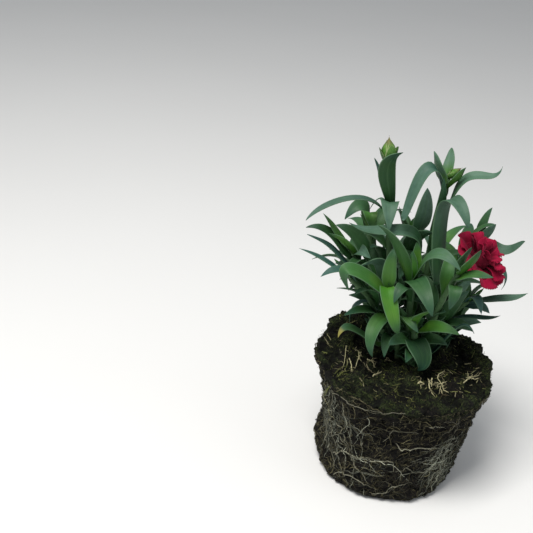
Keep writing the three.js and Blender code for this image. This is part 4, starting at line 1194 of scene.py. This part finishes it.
# Broken surface, at the wall and on the top: waves a millimetre and height of each relief.
WALL_CRUMBLE = [(0.1, 1.2), (0.25, 2.2), (0.62, 1.2), (1.5, 0.35)]
TOP_CRUMBLE = [(0.08, 3.4), (0.22, 2.6), (0.6, 1.3), (1.5, 0.35)]
CRUMBLE_SINK = 0.5  # the broken surface lies this far under the smooth one on the whole
CLODS = (0.27, 1.8)  # waves a millimetre and height of the rounded clods
WALL_CLODS = 0.35  # share of that height at the wall
ROUGH_TOP = (62, 72)  # the wall's surface turns into the top's between these heights
FOOT_CALM = 0.3  # share of the wall's roughness at the floor
FOOT_HEIGHT = 5  # above this the wall has all of it
MOSS_HEIGHT = (67, 72)  # moss sets in between these heights
MOSS_OFF_CLODS = 3  # and higher by this times what a clod stands off
HOLLOW_SHADE_FROM = 0.1  # painted shade: the peat darkens where it stands off the smooth ball by less
HOLLOW_SHADE_DEPTH = 1.6  # and is darkest this much deeper
BALL_SEEDS = {"crumbs": 15, "fibres": 21, "roots": 33, "fine_roots": 45, "moss": 57, "straw": 63}


def mounded(angle, key):
    """How far the mounds jut out (key 1) or rise (key 2) at a heading, as in the CAD."""
    total = 0
    for mound in MOUNDS:
        near = np.maximum(0, np.cos(angle - math.radians(mound[0])))
        total = total + mound[key] * near**MOUND_SHARPNESS
    return total


def wall_radius(angle, height):
    """Radius of the ball's wall, as in the CAD."""
    share = np.minimum(height / BALL_HEIGHT, 1)
    lumps = sum(
        size * np.sin(waves * angle + turn * height + start)
        for size, waves, turn, start in WALL_LUMPS
    )
    cone = between((BALL_FOOT_RADIUS, BALL_TOP_RADIUS), share)
    return cone + np.interp(height, *zip(*WALL_PROFILE)) + lumps + mounded(angle, 1) * share**4


def on_wall(angle, height, out=0.0):
    """Points on the ball's wall, pushed out by so much."""
    radius = wall_radius(angle, height) + out
    middle = BALL_LEAN * height / BALL_HEIGHT
    return np.stack([middle + radius * np.cos(angle), radius * np.sin(angle), height + 0 * angle], -1)


def soil_top(x, y):
    """Height of the soil's top, as in the CAD."""
    off = np.hypot(x - CROWN[0], y - CROWN[1]) / CROWN_REACH
    swell = CROWN_SWELL * np.exp(-off * off)
    lumps = sum(size * np.sin(a * x + b * y + start) for size, a, b, start in SOIL_LUMPS)
    slope = SOIL_FALL[0] * (x - BALL_LEAN) + SOIL_FALL[1] * y
    far = smooth((np.hypot(x - BALL_LEAN, y) - MOUND_FROM) / (MOUND_UNTIL - MOUND_FROM))
    rise = far * mounded(np.arctan2(y, x - BALL_LEAN), 2)
    return BALL_HEIGHT - SOIL_SINK + swell + lumps + slope + rise


def on_top(angle, inward):
    """Points on the smooth top, at a share of the way from its middle out to the rim."""
    edge = on_wall(angle, BALL_HEIGHT)
    x = BALL_LEAN + (edge[..., 0] - BALL_LEAN) * inward
    y = edge[..., 1] * inward
    return np.stack([x, y, soil_top(x, y)], -1)


def rim_fall(inward):
    """How much lower bits lie towards the rim, which is rounded off."""
    return RIM_FALL * smooth((inward - 0.86) / 0.12)


def relief(points, waves):
    """Cloudy relief at each point."""
    flat = points.reshape(-1, 3)
    total = np.full(len(flat), -CRUMBLE_SINK)
    for scale, height in waves:
        total += height * np.array([noise.noise(Vector(point) * scale) for point in flat.tolist()])
    return total.reshape(points.shape[:-1])


def clods(points):
    """Rounded clods with deep cracks between them, at each point."""
    scale, height = CLODS
    flat = points.reshape(-1, 3).tolist()
    nearest = [noise.voronoi(Vector(point) * scale)[0][0] for point in flat]
    return height * (0.5 - np.array(nearest)).reshape(points.shape[:-1])


def rough_wall(points):
    """How far the broken wall stands off the smooth one."""
    return relief(points, WALL_CRUMBLE) + WALL_CLODS * clods(points)


def rough_top(points):
    """How far the broken top stands off the smooth one."""
    return relief(points, TOP_CRUMBLE) + clods(points)


def ball_rings():
    """Rings of the smooth ball: up the wall, over the shoulder and in across the top."""
    angles = around(BALL_COLUMNS)
    rings = [on_wall(angles, height) for height in np.linspace(0, SHOULDER_HEIGHT, WALL_STEPS)]
    under, inside = SHOULDER_CORNER
    low, corner = rings[-1], on_wall(angles, BALL_HEIGHT - under, -inside)
    high = on_top(angles, SHOULDER_INWARD) - UP * SHOULDER_DROP
    for t in np.linspace(0, 1, SHOULDER_STEPS + 2)[1:-1]:
        rings.append(low * (1 - t) ** 2 + corner * 2 * t * (1 - t) + high * t * t)
    for inward in np.linspace(SHOULDER_INWARD, 0.02, TOP_STEPS):
        drop = SHOULDER_DROP * smooth((inward - 0.85) / 0.1)
        rings.append(on_top(angles, inward) - UP * drop)
    return np.array(rings)


def make_soil():
    """The peat: a crumbled surface on the ball's form, with a flat foot."""
    rings = ball_rings()
    normal = unit(np.cross(np.gradient(rings, axis=1), np.gradient(rings, axis=0)))
    height = rings[..., 2]
    upper = smooth((height - ROUGH_TOP[0]) / (ROUGH_TOP[1] - ROUGH_TOP[0]))
    rough = rough_wall(rings) * (1 - upper) + rough_top(rings) * upper
    steady = between((FOOT_CALM, 1), smooth(height / FOOT_HEIGHT))
    above = height - MOSS_HEIGHT[0] - MOSS_OFF_CLODS * rough
    moss = smooth(above / (MOSS_HEIGHT[1] - MOSS_HEIGHT[0]))
    rings = rings + normal * (rough * steady)[..., None]
    rings[..., 2] = np.maximum(rings[..., 2], 0)
    rings[0, :, 2] = 0
    shape = Shape("moss", "hollow")
    # Painted shade: the peat's colour darkens where its surface sinks under the smooth ball.
    shape.add_rings(rings, moss=moss, hollow=smooth((HOLLOW_SHADE_FROM - rough) / HOLLOW_SHADE_DEPTH))
    shape.piece("peat", [soil_material()], "soil", ["root_ball"])


# ---- crumbs, fibres and roots on the ball ----

CRUMBS = 1100
CRUMB_SIZE = (0.25, 0.9)  # radius
CRUMB_SINK = 0.3  # over its radius
CRUMB_LUMPS = (0.7, 1.3)
CRUMB_RINGS = 5
CRUMB_SIDES = 6
STRAND_TAPER = ((0, 0.12, 0.7, 1), (0.55, 1, 0.8, 0.2))  # share along a strand, and of its radius
WALK_RADIUS = 50  # the wall's mean radius, for a strand's way round it
HOLLOW_LIMIT = 0.8  # strands bridge hollows that are deeper
WALK_LIMITS = (1.5, 73)  # lowest and highest
FIBRES = 6000
FIBRE_STEPS = 5
FIBRE_WANDER = 0.45  # radians a step, the usual size
FIBRE_LENGTH = (3, 12)
FIBRE_LIFT = (-0.15, 0.35)  # off the wall
FIBRE_ENDS = 1.4  # a fibre's ends stand off by up to this much more
ROOT_STEPS = 40
SIDE_ROOTS = 50
SIDE_ROOT_STEPS = 26
SIDE_ROOT_WAYS = [0.1, 3.0, -1.4, -1.8]  # radians
SIDE_ROOT_WANDER = 0.24
SIDE_ROOT_LENGTH = (15, 45)
SIDE_ROOT_RADIUS = (0.14, 0.26)
WEB_STEPS = 14
WEB_WANDER = 0.22
WEB_LENGTH = (10, 40)
WEB_RADIUS = (0.08, 0.2)
# Where fine white roots lie thick on the wall: middle angle, half width, lowest and highest
# start, way down in degrees, and how many.
ROOT_WEBS = [
    (-156, 14, 34, 69, -84, 100),
    (-138, 12, 26, 67, -75, 36),
    (-45, 12, 14, 50, -120, 120),
    (-72, 20, 8, 36, -10, 22),
    (-110, 22, 5, 34, -15, 18),
    (90, 150, 6, 66, -80, 110),
]


def make_crumbs():
    """Loose crumbs of peat on the ball's top and rim."""
    draw = np.random.default_rng(BALL_SEEDS["crumbs"])
    angle = draw.uniform(-np.pi, np.pi, CRUMBS)
    inward = np.sqrt(draw.uniform(0.02, 1, CRUMBS)) * 0.93
    middle = on_top(angle, inward)
    size = draw.uniform(*CRUMB_SIZE, CRUMBS)
    middle[:, 2] += rough_top(middle) - rim_fall(inward) - CRUMB_SINK * size
    steps = np.linspace(0, np.pi, CRUMB_RINGS)[:, None]
    turns = around(CRUMB_SIDES)
    level, high = np.sin(steps), -np.cos(steps)
    ball = np.stack([level * np.cos(turns), level * np.sin(turns), high + 0 * turns], -1)
    shape = Shape("moss", "hollow")
    for place, radius in zip(middle, size):
        lumps = draw.uniform(*CRUMB_LUMPS, (CRUMB_RINGS, CRUMB_SIDES, 1))
        rings = place + radius * lumps * ball * draw.uniform(*CRUMB_LUMPS, 3)
        shape.add_rings(rings, start=False, end=False, moss=draw.uniform(0, 1))
    shape.piece("crumbs", [soil_material()], "soil")


def add_strands(shape, paths, radii, sides, **values):
    """Round strands along paths of equal length, tapering to their ends."""
    count, steps = paths.shape[:2]
    along = unit(np.gradient(paths, axis=1))
    side = unit(np.cross(along, np.array([0.31, 0.42, 0.85])))[:, :, None]
    up = np.cross(along[:, :, None], side)
    angles = around(sides)[:, None]
    taper = np.interp(np.linspace(0, 1, steps), *STRAND_TAPER)
    radius = (radii[:, None] * taper)[..., None, None]
    rings = paths[:, :, None] + radius * (side * np.cos(angles) + up * np.sin(angles))
    index = np.arange(count * steps * sides).reshape(count, steps, sides)
    turn = np.roll(index, -1, axis=2)
    quads = np.stack([index[:, :-1], turn[:, :-1], turn[:, 1:], index[:, 1:]], -1).reshape(-1, 4)
    spread = {key: np.repeat(value, steps * sides) for key, value in values.items()}
    shape.add(rings, quads.tolist(), **spread)


def wall_walk(draw, starts, headings, lengths, steps, wander):
    """Angles and heights of strands that wander over the wall, a row for each strand."""
    angle, height = starts
    paths = []
    step = lengths / steps
    for _ in range(steps):
        paths.append((angle, height))
        headings = headings + wander * draw.normal(size=len(angle))
        angle = angle + step * np.cos(headings) / WALK_RADIUS
        height = np.clip(height + step * np.sin(headings), *WALK_LIMITS)
    return np.array(paths).transpose(1, 2, 0)


def laid(angles, heights, out):
    """Points on the crumbled wall."""
    rough = rough_wall(on_wall(angles, heights))
    return on_wall(angles, heights, np.maximum(rough, -HOLLOW_LIMIT) + out)


def make_fibres():
    """Short fibres of peat and fine dead roots all over the wall."""
    draw = np.random.default_rng(BALL_SEEDS["fibres"])
    starts = (draw.uniform(-np.pi, np.pi, FIBRES), draw.uniform(1, 75, FIBRES))
    headings = draw.uniform(0, 2 * np.pi, FIBRES)
    lengths = draw.uniform(*FIBRE_LENGTH, FIBRES)
    walk = wall_walk(draw, starts, headings, lengths, FIBRE_STEPS, FIBRE_WANDER)
    ends = np.linspace(-1, 1, FIBRE_STEPS) ** 2
    lift = draw.uniform(*FIBRE_LIFT, (FIBRES, 1))
    lift = lift + draw.uniform(0, 1, (FIBRES, 1)) ** 3 * FIBRE_ENDS * ends
    coarse = draw.uniform(0, 1, FIBRES) ** 3
    tone = draw.uniform(0, 1, FIBRES) ** 1.7 * (0.55 + 0.45 * coarse)
    shape = Shape("tone")
    add_strands(shape, laid(*walk, lift), 0.07 + 0.17 * coarse, 3, tone=tone)
    shape.piece("fibres", [strand_material("fibre", FIBRE_COLOURS, 0.8)], "soil")


def cad_rule_roots():
    """The roots that the CAD adds by rule."""
    draw = seeded(ROOT_SEED)
    angle_slack, height_slack = STOP_SLACK
    roots = []
    for i in range(MORE_ROOTS):
        start = MORE_ROOTS_FROM + MORE_ROOTS_SPAN * (i + 0.5) / MORE_ROOTS
        height = between(MORE_ROOTS_HEIGHT, draw())
        step = STEEP_STEP if draw() > 0.5 else (LEVEL_STEP, height_slack * (draw() - 0.5))
        stops = []
        for k in range(4):
            heading = start + k * step[0] + angle_slack * (draw() - 0.5)
            stop = height + k * step[1] + height_slack * (draw() - 0.5)
            stops.append((heading, max(ROOT_LOWEST, stop)))
        roots.append(stops)
    return roots


def wandering(stops, draw):
    """A root's path through its stops, as headings and heights, with small wriggles."""
    t = np.linspace(0, 1, ROOT_STEPS)
    wriggle = np.cumsum(draw.normal(0, 0.22, (2, ROOT_STEPS)), axis=1) * np.sin(np.pi * t)
    path = in_steps(stops, ROOT_STEPS) + wriggle
    return averaged(np.pad(path, ((0, 0), (2, 2)), mode="edge"), 5)


def make_roots():
    """The long pale roots, and thinner ones that wander between them."""
    draw = np.random.default_rng(BALL_SEEDS["roots"])
    shape = Shape("tone")
    named = [*ROOTS, *((*MORE_ROOTS_LOOK, stops) for stops in cad_rule_roots())]
    radii, tones, _ = zip(*named)
    paths = np.array([wandering(stops, draw) for _, _, stops in named])
    places = laid(np.radians(paths[:, 0]), paths[:, 1], 0.4)
    add_strands(shape, places, np.array(radii), 8, tone=np.array(tones))
    starts = (draw.uniform(-np.pi, np.pi, SIDE_ROOTS), draw.uniform(6, 70, SIDE_ROOTS))
    headings = draw.choice(SIDE_ROOT_WAYS, SIDE_ROOTS)
    lengths = draw.uniform(*SIDE_ROOT_LENGTH, SIDE_ROOTS)
    walk = wall_walk(draw, starts, headings, lengths, SIDE_ROOT_STEPS, SIDE_ROOT_WANDER)
    radii = draw.uniform(*SIDE_ROOT_RADIUS, SIDE_ROOTS)
    add_strands(shape, laid(*walk, 0.3), radii, 5, tone=draw.uniform(0, 0.55, SIDE_ROOTS))
    shape.piece("roots", [strand_material("root", ROOT_COLOURS, 0.6)], "soil")


def make_web():
    """Fine whitish roots, thick in some places."""
    draw = np.random.default_rng(BALL_SEEDS["fine_roots"])
    shape = Shape("tone")
    for middle, width, low, high, way, count in ROOT_WEBS:
        angle = np.radians(middle + width * draw.normal(0, 0.55, count).clip(-1, 1))
        starts = (angle, draw.uniform(low, high, count))
        headings = np.radians(way + draw.normal(0, 20, count))
        lengths = draw.uniform(*WEB_LENGTH, count)
        walk = wall_walk(draw, starts, headings, lengths, WEB_STEPS, WEB_WANDER)
        radii = draw.uniform(*WEB_RADIUS, count)
        add_strands(shape, laid(*walk, 0.25), radii, 4, tone=draw.uniform(0, 1, count) ** 3)
    shape.piece("fine_roots", [strand_material("fine_root", FINE_ROOT_COLOURS, 0.6)], "soil")


# ---- moss and straw on the soil ----

MOSS_TUFTS = 12000
MOSS_PATCHES = 0.13  # waves a millimetre
MOSS_REACH = (0.8, 2.8)
MOSS_RADIUS = (0.08, 0.2)
SMALL_BITS = 260
SMALL_BIT_LENGTH = (1.5, 6)
SMALL_BIT_RADIUS = (0.1, 0.28)
STRAW_STEPS = 12
SIDE_SHOOTS = 3
SHOOT_LENGTH = (1.5, 5)
SHOOT_RADIUS = (0.66, 0.36)  # of a bit itself and of its side shoots, over the table's
# Bits of straw, dead shoots and moss stalks on the soil: radius, paleness from 0 to 1,
# greenness, and the stops as X, Y and height over the soil.
STRAW = [
    (0.42, 0.8, 0.1, [(-31.5, 9.5, 3), (-33.4, 8, 3), (-33.6, 3, 1.9), (-34.6, -6, 1.2), (-37.2, -13, 0.5)]),
    (0.6, 0.9, 0.1, [(-30.7, -4, 2.8), (-28.4, -7.5, 1.8), (-27.4, -16, 0.5)]),
    (0.6, 0.95, 0, [(-24.5, 3, 3), (-22, 2, 3.6), (-23.5, -1, 2.4), (-25.8, -10, 0.5)]),
    (0.55, 0.9, 0.1, [(-22.4, 4, 3.6), (-24.8, 1, 2.8), (-22.8, -3, 1.2)]),
    (0.5, 0.9, 0, [(-18, 1.7, 1.4), (-15.8, -2.2, 1.2), (-12.5, -1.4, 1)]),
    (0.4, 0.8, 0, [(-16, -2.5, 1.2), (-14.8, -7, 0.5)]),
    (0.5, 0.35, 0, [(-19.8, -5, 1), (-17.6, -10.5, 0.8), (-15.7, -12.3, 0.6)]),
    (
        0.6, 0.95, 0,
        [(-16.5, -17.5, 0.8), (-15.6, -16.2, 1.6), (-12, -13.5, 1.6), (-9.3, -11.5, 2), (-7.9, -15, 1.2)],
    ),
    (0.4, 0.7, 0, [(-26.3, -18, 1), (-23.5, -24, 1), (-22, -35, 0.6)]),
    (0.9, 1, 0, [(11.2, -25, 1.2), (13, -24, 2.6), (14.8, -25, 1.2)]),
    (0.4, 0.7, 0, [(12.3, -26, 1), (12.2, -30.5, 0.5)]),
    (0.55, 0.9, 0, [(17.6, -20.8, 2.6), (17.9, -28, 1.3), (19.9, -33, 0.5)]),
    (0.55, 0.95, 0, [(19.4, -21, 2.8), (19.1, -29, 1.1)]),
    (0.4, 0.9, 0, [(25, -24, 1.5), (20.8, -24.8, 1)]),
    (
        0.45, 0.9, 0,
        [(25.4, -23.6, 1.6), (23.3, -18.5, 1.9), (24.5, -16.3, 2.5), (27.1, -15.2, 1.9), (28.6, -17, 1)],
    ),
    (0.5, 0.95, 0, [(25.4, -23.4, 1.6), (28.8, -21.3, 1.7)]),
    (0.4, 0.95, 0, [(25.4, -24, 1.6), (25, -30.6, 0.5)]),
    (0.4, 0.95, 0, [(26, -24, 1.6), (28, -31.3, 0.5)]),
    (0.35, 0.8, 0, [(24.6, -23.5, 1.5), (22, -27.5, 0.6)]),
    (0.6, 0.9, 0, [(38.5, -23.5, 0.6), (42, -19.5, 1.8), (44.4, -18, 1.4), (46.5, -14.3, 2.1)]),
    (0.5, 0.95, 0, [(44.6, -18.7, 1.6), (49.6, -15.4, 1.2)]),
    (0.4, 0.85, 0, [(41, -17.5, 1), (45.5, -16, 2), (48, -12.5, 1)]),
    (0.5, 0.35, 1, [(-46, -27, 0.2), (-41.3, -23.3, 0.8), (-36, -15, 0.8), (-30.2, -12, 0.6)]),
    (0.45, 0.3, 1, [(-44, -22, 0.5), (-37, -19, 0.8), (-29.7, -22.4, 0.5)]),
    (0.4, 0.2, 1, [(-41, -18, 0.5), (-36, -10, 0.8), (-31, -9, 0.5)]),
    (0.35, 0.6, 0, [(29.9, 4.3, 0.7), (36.7, 5.5, 0.7)]),
    (0.35, 0.6, 0, [(25.5, 15, 0.4), (26, 15.5, 3.8)]),
    (0.4, 0.5, 0, [(31.6, 12.4, 1.8), (33.1, 8.5, 0.6)]),
    (0.4, 0.6, 0, [(-7.3, -0.1, 0.6), (-5, -0.8, 0.8)]),
    (0.35, 0.3, 0.7, [(-12, -21, 0.6), (-6, -20.5, 0.6)]),
    (0.35, 0.4, 0.8, [(4.5, -23.5, 0.6), (8, -23.7, 0.8), (11.4, -20.8, 0.6)]),
    (0.5, 0.8, 0, [(-12, 43, 0.8), (-6, 46, 1.5), (-2, 43, 0.8)]),
    (0.45, 0.7, 0.1, [(36, 30, 0.8), (33, 36, 1.5), (35, 40, 0.6)]),
    (0.4, 0.6, 0.6, [(-32, 28, 0.8), (-25, 33, 1.2)]),
]


def make_moss():
    """Tufts of moss on the soil's top and over its rim, thick in patches, with painted shade on the tufts
    that stand low.
    """
    draw = np.random.default_rng(BALL_SEEDS["moss"])
    angle = draw.uniform(-np.pi, np.pi, MOSS_TUFTS)
    inward = np.sqrt(draw.uniform(0.02, 1.0, MOSS_TUFTS)) * 0.96
    root = on_top(angle, inward)
    patches = [Vector((x * MOSS_PATCHES, y * MOSS_PATCHES, 3)) for x, y, _ in root.tolist()]
    clump = np.array([noise.noise(place) for place in patches])
    keep = clump + draw.uniform(-0.2, 0.2, MOSS_TUFTS) > 0.02
    root, clump, inward = root[keep], clump[keep], inward[keep]
    count = len(root)
    rough = rough_top(root)
    away = (root - np.array([BALL_LEAN, 0, 0])) * np.array([1, 1, 0]) / BALL_TOP_RADIUS
    root[:, 2] += rough - 0.3 - rim_fall(inward)
    lean = unit(draw.normal(0, 0.8, (count, 3)) + UP * 0.7 + away * 0.5)
    shorter = 1 - 0.6 * smooth((inward - 0.8) / 0.14)  # towards the rim
    reach = (draw.uniform(*MOSS_REACH, count) * shorter)[:, None]
    bend = draw.normal(0, 0.4, (count, 3))
    paths = np.stack([root, root + lean * reach * 0.5, root + (lean + bend) * reach], 1)
    tone = draw.uniform(0, 1, count) ** 3.4 * np.clip(0.5 + 2 * clump, 0.2, 1)
    # Painted shade: tufts that stand low in the relief are darker.
    tone *= between((0.15, 1), smooth((rough + 1.2) / 2.2))
    shape = Shape("tone")
    add_strands(shape, paths, draw.uniform(*MOSS_RADIUS, count), 3, tone=tone)
    shape.piece("moss", [strand_material("moss", MOSS_COLOURS, 0.8)], "soil")


def bedded(path, least):
    """A bit's path laid on the top, at least so high over it. It droops over the rim."""
    x, y, height = path.T
    rim = wall_radius(np.arctan2(y, x - BALL_LEAN), BALL_HEIGHT)
    share = np.hypot(x - BALL_LEAN, y) / rim
    fall = rim_fall(share) + OVERHANG_DROOP * np.maximum(0, share - OVERHANG_FROM)
    return np.stack([x, y, np.maximum(height, least) + soil_top(x, y) - fall], -1)


def curl(draw, size):
    """Small steps that add up along a bit's path."""
    return np.cumsum(draw.normal(0, size, (STRAW_STEPS, 3)), axis=0)


def straight(way, length):
    """A straight path of that length along a way."""
    return way * np.linspace(0, 1, STRAW_STEPS)[:, None] * length


def shoots_of(stops, draw):
    """The path of a bit through its stops, and those of its side shoots."""
    path = in_steps(stops, STRAW_STEPS).T
    path[1:-1] = averaged(path.T, 3).T
    path = path + curl(draw, 0.24)
    shoots = [path]
    for _ in range(SIDE_SHOOTS):
        joint = path[draw.integers(2, STRAW_STEPS - 2)]
        way = unit(path[-1] - path[0]) * draw.uniform(-1, 2) + draw.normal(0, 0.8, 3)
        bend = curl(draw, 0.2)
        shoots.append(joint + straight(unit(way), draw.uniform(*SHOOT_LENGTH)) + bend)
    return shoots


def small_bit(draw):
    """The path of a small bit of straw somewhere on the top."""
    angle, inward = draw.uniform(-np.pi, np.pi), math.sqrt(draw.uniform(0.1, 0.82))
    start = on_top(angle, inward) * np.array([1, 1, 0])
    turn = draw.uniform(0, 2 * np.pi)
    way = np.array([math.cos(turn), math.sin(turn), draw.uniform(-0.1, 0.35)])
    return start + straight(way, draw.uniform(*SMALL_BIT_LENGTH)) + curl(draw, 0.12)


def make_straw():
    """Bits of straw and dead shoots that lie in the moss."""
    draw = np.random.default_rng(BALL_SEEDS["straw"])
    bits = []
    for radius, tone, green, stops in STRAW:
        own, *shoots = shoots_of(stops, draw)
        bits.append((bedded(own, 0.4), SHOOT_RADIUS[0] * radius, tone, green))
        for shoot in shoots:
            shoot_tone = tone * draw.uniform(0.3, 1)
            bits.append((bedded(shoot, 0.4), SHOOT_RADIUS[1] * radius, shoot_tone, green))
    for _ in range(SMALL_BITS):
        path = bedded(small_bit(draw), 0.2)
        radius = draw.uniform(*SMALL_BIT_RADIUS)
        bits.append((path, radius, draw.uniform(0, 0.85) ** 2, draw.choice([0, 0.3, 0.8, 1])))
    paths, radii, tones, greens = (np.array(column) for column in zip(*bits))
    shape = Shape("tone", "green")
    add_strands(shape, paths, radii, 5, tone=tones, green=greens)
    shape.piece("straw", [straw_material()], "soil")


# ---- stage, light and camera, in metres ----

CAMERA_PLACE = (-0.08752, -0.47889, 0.38174)
CAMERA_PITCH = 27  # degrees down from level
CAMERA_ROLL = 4
CAMERA_LENS = 59.4  # millimetres, on a sensor of the width below
CAMERA_SENSOR = 36
FLOOR_SIZE = 8
SURROUND = (0.93, 0.96, 1.0, 1)
SURROUND_STRENGTH = 0.42
# Each light: its place, what it looks at, size, power and colour.
LIGHTS = {
    "key": ((-0.35, -0.35, 1.25), (0.0, 0.0, 0.12), 0.55, 20, (1.0, 0.98, 0.95)),
    "fill": ((0.9, -0.4, 0.6), (0.0, 0.0, 0.1), 0.8, 1.5, (0.92, 0.96, 1.0)),
}


def make_stage():
    """A wide pale floor that the root ball stands on."""
    bpy.ops.mesh.primitive_grid_add(size=FLOOR_SIZE, x_subdivisions=2, y_subdivisions=2)
    floor = bpy.context.object
    floor.name = "floor"
    floor.data.materials.append(floor_material())


def add_light(name, place, target, size, power, colour):
    """A square soft light that looks at a target."""
    light = bpy.data.lights.new(name, "AREA")
    light.size = size
    light.energy = power
    light.color = colour
    holder = bpy.data.objects.new(name, light)
    holder.location = place
    holder.rotation_euler = (Vector(target) - Vector(place)).to_track_quat("-Z", "Y").to_euler()
    bpy.context.scene.collection.objects.link(holder)


def light_stage():
    """Soft studio light: a pale surround, a large key from above and a weak fill."""
    world = bpy.data.worlds.new("studio")
    world.use_nodes = True
    world.node_tree.nodes["Background"].inputs["Color"].default_value = SURROUND
    world.node_tree.nodes["Background"].inputs["Strength"].default_value = SURROUND_STRENGTH
    bpy.context.scene.world = world
    for name, settings in LIGHTS.items():
        add_light(name, *settings)
    bpy.context.scene.view_settings.view_transform = "Standard"


def add_camera():
    """The photograph's view, from in front and above."""
    camera = bpy.data.cameras.new("camera")
    camera.lens = CAMERA_LENS
    camera.sensor_width = CAMERA_SENSOR
    camera.clip_start = 0.01
    holder = bpy.data.objects.new("camera", camera)
    tilt = Matrix.Rotation(math.radians(90 - CAMERA_PITCH), 4, "X")
    roll = Matrix.Rotation(math.radians(CAMERA_ROLL), 4, "Z")
    holder.matrix_world = Matrix.Translation(CAMERA_PLACE) @ tilt @ roll
    bpy.context.scene.collection.objects.link(holder)
    bpy.context.scene.camera = holder


# ---- the scene ----

make_stems()
make_bloom()
make_buds()
make_soil()
make_crumbs()
make_fibres()
make_roots()
make_web()
make_moss()
make_straw()
make_stage()
light_stage()
add_camera()
